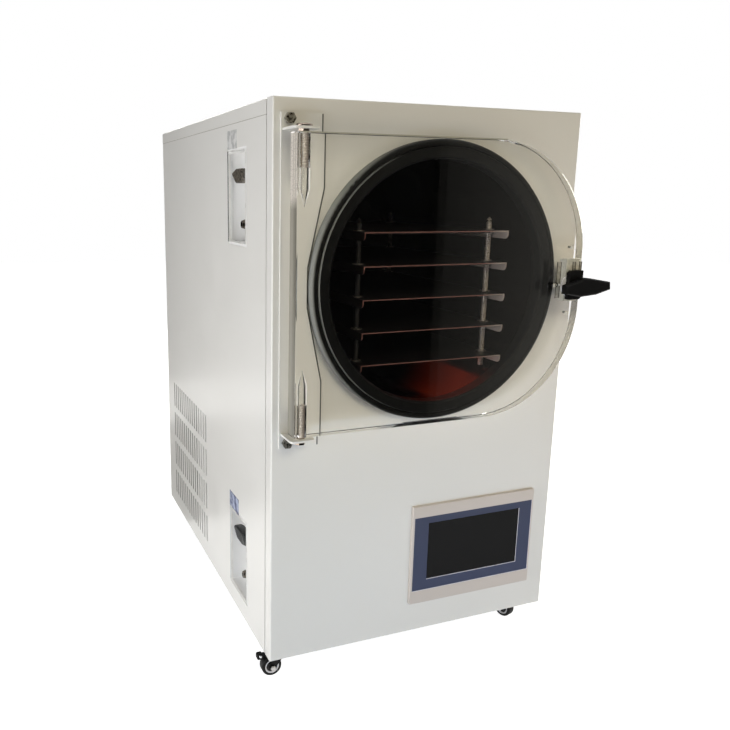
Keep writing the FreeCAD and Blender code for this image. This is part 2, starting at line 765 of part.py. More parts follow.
def makeShelves():
    """Folded plates with both long sides turned down and a hole for each rod."""
    y = (f"{front} - size.shelfProud", f"{front} - size.shelfProud + size.shelfLength")
    mats = []
    for number in range(int(sheet.shelfCount)):
        body = bodyNamed("shelf")
        z = shelfTop(number)
        wall, drop = "size.sheetWall", "size.shelfFlange"
        sides = [f"({middle} {sign} {shelfHalf})" for sign in "-+"]
        pad(body, "XZ", y[0], y[1],
            [[(sides[0], z), (sides[0], f"{z} - {drop}"), (f"{sides[0]} + {wall}", f"{z} - {drop}"),
              (f"{sides[0]} + {wall}", f"{z} - {wall}"), (f"{sides[1]} - {wall}", f"{z} - {wall}"),
              (f"{sides[1]} - {wall}", f"{z} - {drop}"), (sides[1], f"{z} - {drop}"),
              (sides[1], z)]])
        ends, under = (at(y[0]), at(y[1])), at(f"{z} - {drop}")
        dress(body, "Fillet", "size.shelfCorner",
              lambda edge: runs(edge, "X") and lies(edge, "Z", under)
              and any(lies(edge, "Y", value) for value in ends))
        pocket(body, "XY", f"{z} - {wall}", z,
               [(x, rodY, "size.rodRadius + size.runningGap") for x, rodY in rodCentres])
        keep("shelf_%d" % (number + 1), body)
        reach = f"({rodX} - size.nutWidth)"
        mats.append(block((f"{middle} - {reach}", f"{middle} + {reach}"),
                          (f"{y[0]} + size.matMargin", f"{y[1]} - size.matMargin"),
                          (f"{z} - {wall} - size.matThick", f"{z} - {wall}")))
    keep("heater_mats", group(mats))


def makeRackPosts():
    """Threaded rods with a pointed head, a nut under every shelf and a foot on the shell."""
    head = f"({shelfTop(0)} + size.rodTop)"
    posts = []
    for x, y in rodCentres:
        body = bodyNamed("post")
        pad(body, "XY", rackFoot, head, [(x, y, "size.rodRadius")])
        for number in range(int(sheet.shelfCount)):
            under = f"({shelfTop(number)} - size.sheetWall)"
            pad(body, "XY", f"{under} - size.nutThick", under, [hexagon((x, y), "size.nutWidth")])
        rim = at(head)
        dress(body, "Chamfer", "size.rodRadius * 0.9", lambda edge: lies(edge, "Z", rim))
        posts.append(body)
    keep("rack_posts", group(posts))


# ---- door and hinge ----

def makeDoor():
    """Thick acrylic plate: two drilled pivot holes, a latch window, three screw holes."""
    body = bodyNamed("door")
    low, high = f"({chamberZ} - {doorHalf})", f"({chamberZ} + {doorHalf})"
    pad(body, "XZ", doorFront, doorBack, [rectangle((doorLeft, low), (doorRight, high))])
    edgeX, edgeZs = at(doorRight), (at(low), at(high))
    dress(body, "Fillet", f"min(size.doorCorner; {doorHalf} - size.windowHalf)",
          lambda edge: runs(edge, "Y") and lies(edge, "X", edgeX))
    faces = (at(doorFront), at(doorBack))
    dress(body, "Chamfer", "size.doorChamfer", lambda edge: any(lies(edge, "Y", y) for y in faces))
    pocket(body, "XZ", doorFront, doorBack,
           [rectangle((windowLeft, f"{chamberZ} - size.windowHalf"),
                      (windowRight, f"{chamberZ} + size.windowHalf"))])
    radius, depth = "size.pivotDrillRadius", "size.pivotDrillDepth"
    tip = f"({depth} + size.pivotDrillTip)"
    for sign, other in (("+", "-"), ("-", "+")):
        edge = f"({chamberZ} {sign} {doorHalf})"
        revolve(body, "XZ", [[("0", edge), (radius, edge), (radius, f"{edge} {other} {depth}"),
                              ("0", f"{edge} {other} {tip}")]],
                "Groove", (pivotX, "0"), pivotY)
    pocket(body, "XZ", doorFront, f"{doorFront} + size.doorThick / 2",
           [(x, z, "size.screwRadius * 0.6") for x, z in screwCentres])
    keep("door_panel", body)


screwCentres = [(f"{spindleX} - size.baseThick / 4", f"{chamberZ} + size.screwSpread"),
                (f"{spindleX} - size.baseThick / 4", f"{chamberZ} - size.screwSpread"),
                (f"{spindleX} - size.stopOut", f"{spindleZ} + size.baseRise")]


def makeSleeves():
    """Threaded sleeves pressed into the door's two pivot holes."""
    sleeves = []
    for sign, other in (("+", "-"), ("-", "+")):
        edge = f"({chamberZ} {sign} {doorHalf})"
        deep = f"({edge} {other} size.sleeveLength)"
        low, high = (deep, edge) if sign == "+" else (edge, deep)
        body = bodyNamed("sleeve")
        pad(body, "XY", low, high,
            [(pivotX, pivotY, "size.pivotDrillRadius - size.runningGap"),
             (pivotX, pivotY, "size.pivotRadius + size.runningGap")])
        sleeves.append(body)
    keep("hinge_sleeves", group(sleeves))


def makeHingePlate():
    """Waisted plate that clears the gasket, with a lug at each end for the pivot bolts."""
    body = bodyNamed("hingePlate")
    wide = f"({plateLeft} + size.plateWidth)"
    waist = f"({middle} - {gasketRadius} - size.waistGap)"
    heights = [f"{chamberZ} {sign} {value}" for sign, value in
               (("-", plateHalf), ("-", "size.waistTaper"), ("-", "size.waistHalf"),
                ("+", "size.waistHalf"), ("+", "size.waistTaper"), ("+", plateHalf))]
    outline = list(zip((wide, wide, waist, waist, wide, wide), heights))
    pad(body, "XZ", f"{front} - size.plateThick", front,
        [[(plateLeft, heights[0])] + outline + [(plateLeft, heights[-1])]])
    lugX = f"({plateLeft} + size.lugLeft)"
    tipY = f"({front} - size.lugDepth)"
    for sign, low, high in (("+", lugInside, lugOutside), ("-", lugOutside, lugInside)):
        pad(body, "XY", f"{chamberZ} {sign} {low}", f"{chamberZ} {sign} {high}",
            [rectangle((lugX, tipY), (f"{lugX} + size.lugWidth", f"{front} - size.plateThick / 2"))])
    edgeY = at(tipY)
    dress(body, "Fillet", "size.lugCorner", lambda edge: runs(edge, "Z") and lies(edge, "Y", edgeY))
    pocket(body, "XY", f"{chamberZ} - {plateHalf}", f"{chamberZ} + {plateHalf}",
           [(pivotX, pivotY, "size.pivotRadius + size.runningGap")])
    pocket(body, "XZ", f"{front} - size.plateThick", front,
           [(x, z, "size.pivotRadius + size.runningGap") for x, z in hingeBoltCentres])
    keep("hinge_plate", body)


hingeBoltCentres = [(f"{plateLeft} + size.boltInset", f"{chamberZ} {sign} ({plateHalf} - size.boltEnd)")
                    for sign in "+-"]


def makeHingeBolts():
    """Hexagon bolts with a washer face, through the plate and the fascia."""
    bolts = []
    face = f"({front} - size.plateThick)"
    for x, z in hingeBoltCentres:
        body = bodyNamed("hingeBolt")
        pad(body, "XZ", f"{face} - size.hexThick", face, [hexagon((x, z), "size.hexWidth")])
        pad(body, "XZ", face, f"{front} + size.hexWidth", [(x, z, "size.pivotRadius")])
        bolts.append(body)
    keep("hinge_bolts", group(bolts))


def makePivotBolts():
    """Upper bolt with a wide flat cap, lower one with a hexagon head; both end in a sleeve."""
    reach = f"({doorHalf} - size.sleeveLength * 0.75)"
    upper = bodyNamed("upperPivot")
    lift = f"({chamberZ} + {lugOutside})"
    pad(upper, "XY", lift, f"{lift} + size.capThick", [(pivotX, pivotY, "size.capRadius")])
    rim = at(f"{lift} + size.capThick")
    dress(upper, "Chamfer", "size.capThick * 0.5", lambda edge: lies(edge, "Z", rim))
    pad(upper, "XY", f"{chamberZ} + {reach}", lift, [(pivotX, pivotY, "size.pivotRadius")])
    lower = bodyNamed("lowerPivot")
    drop = f"({chamberZ} - {lugOutside})"
    pad(lower, "XY", f"{drop} - size.hexThick", drop, [hexagon((pivotX, pivotY), "size.hexWidth")])
    pad(lower, "XY", drop, f"{chamberZ} - {reach}", [(pivotX, pivotY, "size.pivotRadius")])
    keep("pivot_bolts", group([upper, lower]))
    nuts = []
    for sign, low, high in (("+", f"{lugInside} - size.thinNut", lugInside),
                            ("-", lugInside, f"{lugInside} - size.thinNut")):
        nut = bodyNamed("thinNut")
        pad(nut, "XY", f"{chamberZ} {sign} ({low})", f"{chamberZ} {sign} ({high})",
            [hexagon((pivotX, pivotY), "size.hexWidth"),
             (pivotX, pivotY, "size.pivotRadius + size.runningGap")])
        nuts.append(nut)
    keep("pivot_nuts", group(nuts))


# ---- latch ----

def makeLatchCase():
    """Steel channel let into the door's window; the spindle runs in its web."""
    fit = "size.caseFit"
    x = (f"({windowLeft} + {fit})", f"({windowRight} - {fit})")
    z = (f"({chamberZ} - size.windowHalf + {fit})", f"({chamberZ} + size.windowHalf - {fit})")
    body = bodyNamed("latchCase")
    web = f"({doorBack} - size.caseWall)"
    pad(body, "XZ", doorFront, doorBack, [rectangle((x[0], z[0]), (x[1], z[1]))])
    pocket(body, "XZ", doorFront, web,
           [rectangle((f"{x[0]} + size.caseWall", z[0]), (f"{x[1]} - size.caseWall", z[1]))])
    pocket(body, "XZ", web, doorBack, [(spindleX, spindleZ, "size.spindleRadius + size.runningGap")])
    keep("latch_case", body)


def makeLatchFront():
    """Round escutcheon, base block with cut corners, and three round-headed screws."""
    body = bodyNamed("escutcheon")
    hole = (spindleX, spindleZ, "size.spindleRadius + size.runningGap")
    pad(body, "XZ", discFront, doorFront, [(spindleX, spindleZ, "size.plateDiscRadius"), hole])
    keep("latch_escutcheon", body)

    base = bodyNamed("latchBase")
    x = (f"({spindleX} - size.baseLeft)", f"({spindleX} - size.baseLeft + size.baseWidth)")
    low = f"({spindleZ} + size.baseRise - size.baseHeight / 2)"
    cut = "size.baseThick / 2"
    high = f"({low} + size.baseHeight)"
    pad(base, "XZ", baseFront, discFront,
        [[(x[0], low), (f"{x[1]} - {cut}", low), (x[1], f"{low} + {cut}"), (x[1], high),
          (f"{x[0]} + {cut}", high), (x[0], f"{high} - {cut}")], hole])
    keep("latch_base", base)

    screws = []
    for x, z in screwCentres:
        screw = bodyNamed("latchScrew")
        head = f"({doorFront} - size.screwRadius * 0.6)"
        pad(screw, "XZ", head, doorFront, [(x, z, "size.screwRadius")])
        faceY = at(head)
        dress(screw, "Chamfer", "size.screwRadius * 0.3", lambda edge: lies(edge, "Y", faceY))
        pad(screw, "XZ", doorFront, f"{doorFront} + size.doorThick * 0.4",
            [(x, z, "size.screwRadius * 0.6 - size.runningGap")])
        screws.append(screw)
    keep("latch_screws", group(screws))


def makeLatchLever():
    """Tapered lever: deep over the spindle, narrower at its tip and its tail."""
    body = bodyNamed("latchLever")
    u, v = spindleX, spindleZ
    outline = [(f"{u} - size.leverTail", f"{v} - size.leverTailLow"),
               (f"{u} + size.leverTip / 2", f"{v} - size.leverLow"),
               (f"{u} + size.leverBelly", f"{v} - size.leverBellyLow"),
               (f"{u} + size.leverLength", f"{v} - size.leverTip"),
               (f"{u} + size.leverLength - size.leverLean", f"{v} + size.leverTip"),
               (f"{u} + size.leverShoulder", f"{v} + size.leverShoulderTop"),
               (f"{u} + size.leverTip", f"{v} + size.leverTop"),
               (f"{u} + size.leverTip / 2", f"{v} + size.leverNotch"),
               (f"{u} - size.leverTail", f"{v} + size.leverTailTop")]
    rear = f"({baseFront} - size.seatGap)"
    pad(body, "XZ", f"{rear} - size.leverThick", rear, [outline])
    frontFace = at(f"{rear} - size.leverThick")
    dress(body, "Chamfer", "size.leverBevel", lambda edge: lies(edge, "Y", frontFace))
    keep("latch_lever", body)


camY = (f"({doorBack} + size.camBack)", f"({doorBack} + size.camBack + size.camThick)")


def makeLatchSpindle():
    """Spindle from the lever to the cam, with a retaining head behind the cam."""
    body = bodyNamed("spindle")
    pad(body, "XZ", f"{baseFront} - size.seatGap", camY[1], [(spindleX, spindleZ, "size.spindleRadius")])
    pad(body, "XZ", camY[1], f"{camY[1]} + size.camThick", [hexagon((spindleX, spindleZ),
                                                                   "size.hexWidth")])
    keep("latch_spindle", body)
    cam = bodyNamed("cam")
    half = "size.camHalf"
    pad(cam, "XZ", camY[0], camY[1],
        [rectangle((f"{spindleX} - size.camHeel", f"{spindleZ} - size.camTail"),
                   (f"{spindleX} + {half}", f"{spindleZ} + size.camLength"))])
    tip = at(f"{spindleZ} + size.camLength")
    dress(cam, "Fillet", f"{half} * 0.6", lambda edge: runs(edge, "Y") and lies(edge, "Z", tip))
    pocket(cam, "XZ", camY[0], camY[1], [(spindleX, spindleZ, "size.spindleRadius + size.runningGap")])
    keep("latch_cam", cam)


def makeStrike():
    """Channel on the fascia whose lip stands in front of the locked cam."""
    body = bodyNamed("strike")
    wall = "size.strikeWall"
    reach = f"({spindleX} + sqrt(size.camLength ^ 2 + size.camHalf ^ 2) + size.strikeGap)"
    lip = f"({camY[0]} - size.strikeGap - {wall})"
    pad(body, "XY", f"{spindleZ} - size.strikeHalf", f"{spindleZ} + size.strikeHalf",
        [[(f"{reach} - size.strikeReach", front), (f"{reach} + {wall}", front),
          (f"{reach} + {wall}", lip), (f"{reach} - size.strikeReach", lip),
          (f"{reach} - size.strikeReach", f"{lip} + {wall}"), (reach, f"{lip} + {wall}"),
          (reach, f"{front} - {wall}"), (f"{reach} - size.strikeReach", f"{front} - {wall}")]])
    keep("latch_strike", body)


# ---- operator panel ----

def makeOperatorPanel():
    """Frame plate, navy band let into it, glass in the band, housing behind the fascia."""
    x = (panelX, f"({panelX} + size.panelWidth)")
    z = (panelZ, f"({panelZ} + size.panelHeight)")
    face = f"({front} - size.panelThick)"
    seat = f"({face} + size.bandThick)"
    bandX = (f"({x[0]} + size.panelSide)", f"({x[1]} - size.panelSide)")
    bandZ = (f"({z[0]} + size.bandBottom)", f"({z[1]} - size.bandTop)")
    glassX = (f"({bandX[0]} + size.screenSide)", f"({bandX[1]} - size.screenSide)")
    glassZ = (f"({bandZ[0]} + size.screenBottom)", f"({bandZ[1]} - size.screenTop)")

    frame = bodyNamed("panelFrame")
    pad(frame, "XZ", face, front, [rectangle((x[0], z[0]), (x[1], z[1]))])
    corners = (at(x[0]), at(x[1]))
    dress(frame, "Fillet", "size.panelCorner",
          lambda edge: runs(edge, "Y") and any(lies(edge, "X", value) for value in corners))
    faceY = at(face)
    dress(frame, "Fillet", "size.sheetWall", lambda edge: lies(edge, "Y", faceY))
    pocket(frame, "XZ", face, seat, [rectangle((bandX[0], bandZ[0]), (bandX[1], bandZ[1]))])
    keep("panel_frame", frame)

    band = bodyNamed("panelBand")
    pad(band, "XZ", face, seat, [rectangle((bandX[0], bandZ[0]), (bandX[1], bandZ[1])),
                                 rectangle((glassX[0], glassZ[0]), (glassX[1], glassZ[1]))])
    keep("panel_bezel", band)
    keep("panel_screen", block(glassX, (f"{face} + size.seatGap", seat), glassZ))
    inset = "size.housingInset + size.caseFit"
    keep("panel_housing", block((f"{x[0]} + {inset}", f"{x[1]} - ({inset})"),
                                (front, f"{front} + size.housingDepth"),
                                (f"{z[0]} + {inset}", f"{z[1]} - ({inset})")))


# ---- side pockets, valves and pipes ----

def makePocket(label, rise):
    """Folded tray whose rounded rim stands in a side opening, flange against the panel."""
    wall = "size.sheetWall"
    start = f"({left} + {wall})"
    body = bodyNamed(label)
    pad(body, "YZ", left, valveFace, [pocketOutline(rise, wall)])
    pad(body, "YZ", start, f"{start} + {wall}", [pocketOutline(rise, "size.pocketFlange")])
    pocket(body, "YZ", left, pocketBack, [pocketOutline(rise)])
    mouth = at(left)
    dress(body, "Fillet", "size.pocketRound", lambda edge: lies(edge, "X", mouth))
    pocket(body, "YZ", pocketBack, valveFace,
           [(pocketMid, f"{pocketBase(rise)} + size.knobRise",
             "size.stemRadius + 2 * size.runningGap"),
            (pocketMid, f"{pocketBase(rise)} + size.nozzleRise",
             "size.nozzleRadius + size.runningGap")])
    keep(label, body)


def makeValve(label, knobLabel, rise):
    """Brass manifold behind the pocket with a barbed nozzle, and a wing knob on its stem."""
    knobZ = f"({pocketBase(rise)} + size.knobRise)"
    nozzleZ = f"({pocketBase(rise)} + size.nozzleRise)"
    end = f"({valveFace} + size.valveDepth)"
    body = bodyNamed(label)
    half = "size.valveHalf"
    pad(body, "YZ", valveFace, end, [rectangle((f"{pocketMid} - {half}", f"{nozzleZ} - {half}"),
                                               (f"{pocketMid} + {half}", f"{knobZ} + {half}"))])
    tip = f"({valveFace} - size.nozzleLength)"
    barb = "(size.nozzleRadius + size.nozzleBarb)"
    profile = [(valveFace, "0"), (valveFace, "size.nozzleRadius")]
    for count in (2, 1):
        step = f"{tip} + {count} * size.barbPitch"
        profile += [(step, "size.nozzleRadius"), (step, barb),
                    (f"{step} - size.barbPitch", "size.nozzleRadius * size.barbTaper")]
    profile += [(tip, "0")]
    revolve(body, "XZ", [profile], origin=("0", nozzleZ), height=pocketMid, axis="H_Axis")
    pocket(body, "YZ", tip, end, [(pocketMid, nozzleZ, "size.nozzleBore")])
    pocket(body, "YZ", valveFace, f"{valveFace} + size.valveDepth / 2",
           [(pocketMid, knobZ, "size.stemRadius + size.runningGap")])
    keep(label, body)

    knob = bodyNamed(knobLabel)
    face = f"({left} + size.knobProud)"
    rear = f"({face} + size.knobThick)"
    outline = []
    for sign, other in (("+", "-"), ("-", "+")):
        end = f"{pocketMid} {sign} size.knobReach"
        shoulder = f"{end} {other} size.knobTaper"
        tip = f"{knobZ} {sign} size.knobTip"
        outline += [(end, f"{tip} {other} size.knobTipHalf"),
                    (end, f"{tip} {sign} size.knobTipHalf"),
                    (shoulder, f"{knobZ} {sign} size.knobHalf"),
                    (f"{pocketMid} {other} (size.knobReach - size.knobTaper)",
                     f"{knobZ} {sign} size.knobHalf")]
    pad(knob, "YZ", face, rear, [outline])
    faceX = at(face)
    dress(knob, "Chamfer", "size.knobBevel", lambda edge: lies(edge, "X", faceX))
    span = "size.gripPitch * (size.gripCount - 1)"
    first = f"{pocketMid} - ({span} + size.gripWidth) / 2"
    groove = pocket(knob, "YZ", face, f"{face} + size.gripDepth",
                    [rectangle((first, f"{knobZ} - size.knobHalf"),
                               (f"{first} + size.gripWidth", f"{knobZ} + size.knobHalf"))])
    grips = knob.newObject("PartDesign::LinearPattern", "grips")
    grips.Originals = [groove]
    grips.Direction = (groove.Profile[0], ["H_Axis"])
    grips.setExpression("Length", span)
    grips.setExpression("Occurrences", "size.gripCount")
    knob.Tip = grips
    pad(knob, "YZ", rear, f"{valveFace} + size.valveDepth / 2 - size.seatGap",
        [(pocketMid, knobZ, "size.stemRadius")])
    keep(knobLabel, knob)


def makePipes():
    """Straight vacuum pipe and bent drain pipe from the valves to the chamber's shell."""
    start = f"({valveFace} + size.valveDepth)"
    bore = "size.nozzleBore"
    rise = f"({bottom} + size.upperPocketZ + size.nozzleRise)"
    body = bodyNamed("vacuumPipe")
    pad(body, "YZ", start, middle, [(pocketMid, rise, "size.pipeRadius"), (pocketMid, rise, bore)])
    shell = rod("Y", f"{shellRadius} + size.runningGap", front, f"{front} + size.chamberDepth",
                (middle, chamberZ))
    keep("vacuum_pipe", minus(body, [shell]))

    low = f"({bottom} + size.lowerPocketZ + size.nozzleRise)"
    under = f"({chamberZ} - {shellRadius} - size.seatGap)"
    bend = "size.pipeBend"
    drain = bodyNamed("drainPipe")
    pad(drain, "YZ", start, f"{middle} - {bend}",
        [(pocketMid, low, "size.pipeRadius"), (pocketMid, low, bore)])
    pad(drain, "XY", f"{low} + {bend}", under,
        [(middle, pocketMid, "size.pipeRadius"), (middle, pocketMid, bore)])
    elbow = drain.newObject("PartDesign::Revolution", "elbow")
    section = sketchOn(drain, "XY", f"{low} + {bend}", [(bend, "0", "size.pipeRadius"),
                                                        (bend, "0", bore)],
                       (f"{middle} - {bend}", pocketMid))
    elbow.Profile = section
    elbow.ReferenceAxis = (section, ["V_Axis"])
    elbow.Angle = 90
    keep("drain_pipe", drain)


# ---- castors ----

def castorPlaces():
    xs = (f"({left} + size.castorInset)", f"({right} - size.castorInset)")
    ys = (f"({front} + size.castorFront)", f"({back} - size.castorFront)")
    return [(x, y) for y in ys for x in xs]


def makeCastors():
    """Plate and race, turning fork, wheel on its axle, brake pedal on the front pair."""
    plateLow = "(size.castorHeight - size.castorPlateThick)"
    crown = f"({plateLow} - size.raceThick)"
    axleZ, axleX = "size.wheelRadius", "-size.castorTrail"
    inside, outside = "size.forkHalf", "(size.forkHalf + size.forkWall)"
    pinX = "(-size.castorTrail * 0.55)"
    pinZ = f"({crown} - size.forkWall - size.seatGap - size.pedalThick / 2)"
    plates = []
    for number, (x, y) in enumerate(castorPlaces(), start=1):
        turn = "size.castorTurn%d" % number
        braked = number < 3

        plate = bodyNamed("castorPlate", (x, y, "0"))
        half = "size.castorPlate / 2"
        pad(plate, "XY", plateLow, "size.castorHeight", [rectangle((f"-{half}", f"-{half}"),
                                                                   (half, half))])
        pad(plate, "XY", f"{crown} + size.runningGap", plateLow, [("0", "0", "size.raceRadius")])
        plates.append(plate)

        fork = bodyNamed("fork", (x, y, "0"), turn)
        wall = "size.forkWall"
        reach = "size.raceRadius * 0.9"
        pad(fork, "XY", f"{crown} - {wall}", crown, [rectangle((f"-{reach}", f"-{outside}"),
                                                              (reach, outside))])
        leg = [(f"-{reach}", crown), (f"{axleX} - size.legTip", axleZ),
               (f"{axleX} + size.legTip", axleZ), (reach, crown)]
        for low, high in ((inside, outside), (f"-{outside}", f"-{inside}")):
            pad(fork, "XZ", low, high, [leg])
            pad(fork, "XZ", low, high, [(axleX, axleZ, "size.legTip")])
        head = f"({outside} + size.forkWall)"
        pad(fork, "XZ", f"-{outside}", outside, [(axleX, axleZ, "size.axleRadius")])
        pad(fork, "XZ", outside, f"{head}", [(axleX, axleZ, "size.axleHead")])
        pad(fork, "XZ", f"-{head}", f"-{outside}", [(axleX, axleZ, "size.axleHead")])
        if braked:
            pad(fork, "XZ", f"-{inside}", inside, [(pinX, pinZ, "size.pedalPin")])
        keep("castor_fork_%d" % number, fork)

        wheel = bodyNamed("wheel", (x, y, "0"), turn)
        side = "size.wheelWidth / 2"
        pad(wheel, "XZ", f"-{side}", side, [(axleX, axleZ, "size.wheelRadius"),
                                            (axleX, axleZ, "size.axleRadius + size.runningGap")])
        reachX = at("2 * size.wheelRadius")
        dress(wheel, "Fillet", "size.wheelRound",
              lambda edge: abs(edge.BoundBox.XLength - reachX) < 0.01)
        for low, inward in ((f"-{side}", "+"), (side, "-")):
            for depth, wide, narrow in (("size.hubDepth", "size.hubRecess", "size.hubBoss"),
                                        ("size.rimGroove", "size.rimRadius + size.rimGroove",
                                         "size.rimRadius")):
                deep = f"{low} {inward} {depth}"
                lower, upper = (low, deep) if inward == "+" else (deep, low)
                pocket(wheel, "XZ", lower, upper, [(axleX, axleZ, wide), (axleX, axleZ, narrow)])
        keep("castor_wheel_%d" % number, wheel)

        if braked:
            pedal = bodyNamed("pedal", (x, y, "0"), turn)
            tip = f"({pinX} - size.pedalLength)"
            grip = f"({tip} + size.pedalTread)"
            wide = "size.pedalHalf"
            thick = "size.pedalThick / 2"
            rise = f"({pinZ} + size.pedalLift)"
            tread = (at(tip), at(grip))
            pad(pedal, "XZ", f"-{wide}", wide,
                [rectangle((tip, f"{rise} - size.pedalTread"), (grip, rise))])
            dress(pedal, "Fillet", "size.pedalRound",
                  lambda edge: runs(edge, "Y") and any(lies(edge, "X", value) for value in tread))
            sides = (at(f"-{wide}"), at(wide))
            dress(pedal, "Fillet", "size.pedalRound / 2",
                  lambda edge: any(lies(edge, "Y", value) for value in sides))
            pad(pedal, "XZ", "-size.pedalArm", "size.pedalArm",
                [[(f"{pinX} + {thick}", f"{pinZ} - {thick}"), (f"{pinX} + {thick}", f"{pinZ} + {thick}"),
                  (f"{grip} + {thick}", f"{pinZ} + {thick}"),
                  (f"{grip} - {thick}", f"{rise} - {thick}"),
                  (f"{grip} - {thick}", f"{rise} - 2 * {thick}"),
                  (f"{grip} + {thick}", f"{pinZ} - {thick}")]])
            pocket(pedal, "XZ", "-size.pedalArm", "size.pedalArm",
                   [(pinX, pinZ, "size.pedalPin + size.runningGap")])
            keep("castor_brake_%d" % number, pedal)
    keep("castor_plates", group(plates))


# ---- refrigeration ----

slotBankY = (f"({front} + size.slotFrontY)",
             f"({front} + size.slotFrontY + size.slotPitch * (size.slotColumns - 1)"
             " + size.slotWidth)")
slotBankZ = (f"({bottom} + size.slotBottomZ)",
             f"({bottom} + size.slotBottomZ + size.slotRowPitch * (size.slotRows - 1)"
             " + size.slotHeight)")
fanY = f"(({slotBankY[0]} + {slotBankY[1]}) / 2)"
fanZ = f"(({slotBankZ[0]} + {slotBankZ[1]}) / 2)"


def makeCompressor():
    """Hermetic shell of two drawn halves with a weld lip, on a mounting plate with feet."""
    centre = (f"{right} - size.compressorRight", f"{front} + size.compressorY", floorZ)
    body = bodyNamed("compressor", centre)
    radius, height = "size.compressorRadius", "size.compressorHeight"
    foot, seam, lip = "size.compressorFoot", "size.compressorSeam", "size.compressorLip"
    seat = f"({foot} + size.compressorPlate)"
    revolve(body, "XZ", [[("0", seat), (radius, seat), (radius, seam), (f"{radius} + {lip}", seam),
                          (f"{radius} + {lip}", f"{seam} + {lip}"), (radius, f"{seam} + {lip}"),
                          (radius, height), ("0", height)]])
    crown = at(height)
    dress(body, "Fillet", "size.compressorDome", lambda edge: lies(edge, "Z", crown))
    half = f"({radius} * 0.95)"
    pad(body, "XY", foot, seat, [rectangle((f"-{half}", f"-{half}"), (half, half))])
    inset = f"({half} - size.footRadius - size.compressorPlate)"
    feet = [(f"{sx}{inset}", f"{sy}{inset}", "size.footRadius") for sx in ("", "-") for sy in ("", "-")]
    pad(body, "XY", "0", foot, feet)
    keep("compressor", body)


def makeCondenser():
    """Finned coil behind the left louvres: end plates, fins and four tubes."""
    x = (f"({left} + size.condenserX)", f"({left} + size.condenserX + size.condenserDepth)")
    margin = "size.condenserMargin"
    y = (f"({slotBankY[0]} - {margin})", f"({slotBankY[1]} + {margin})")
    z = (floorZ, f"({slotBankZ[1]} + {margin})")
    count = int(sheet.finCount)
    pitch = f"({y[1]} - {y[0]} - size.finWall) / {count - 1}"
    fins = [block(x, (f"{y[0]} + {n} * {pitch}", f"{y[0]} + {n} * {pitch} + size.finWall"), z)
            for n in range(count)]
    middleX = f"{x[0]} + size.condenserDepth / 2"
    tubes = [rod("Y", "size.tubeRadius", f"{y[0]} - size.tubeRadius", f"{y[1]} + size.tubeRadius",
                 (middleX, f"{z[0]} + ({n} + 0.5) * ({z[1]} - {z[0]}) / 4")) for n in range(4)]
    keep("condenser", join(fins + tubes))
    return x[1]


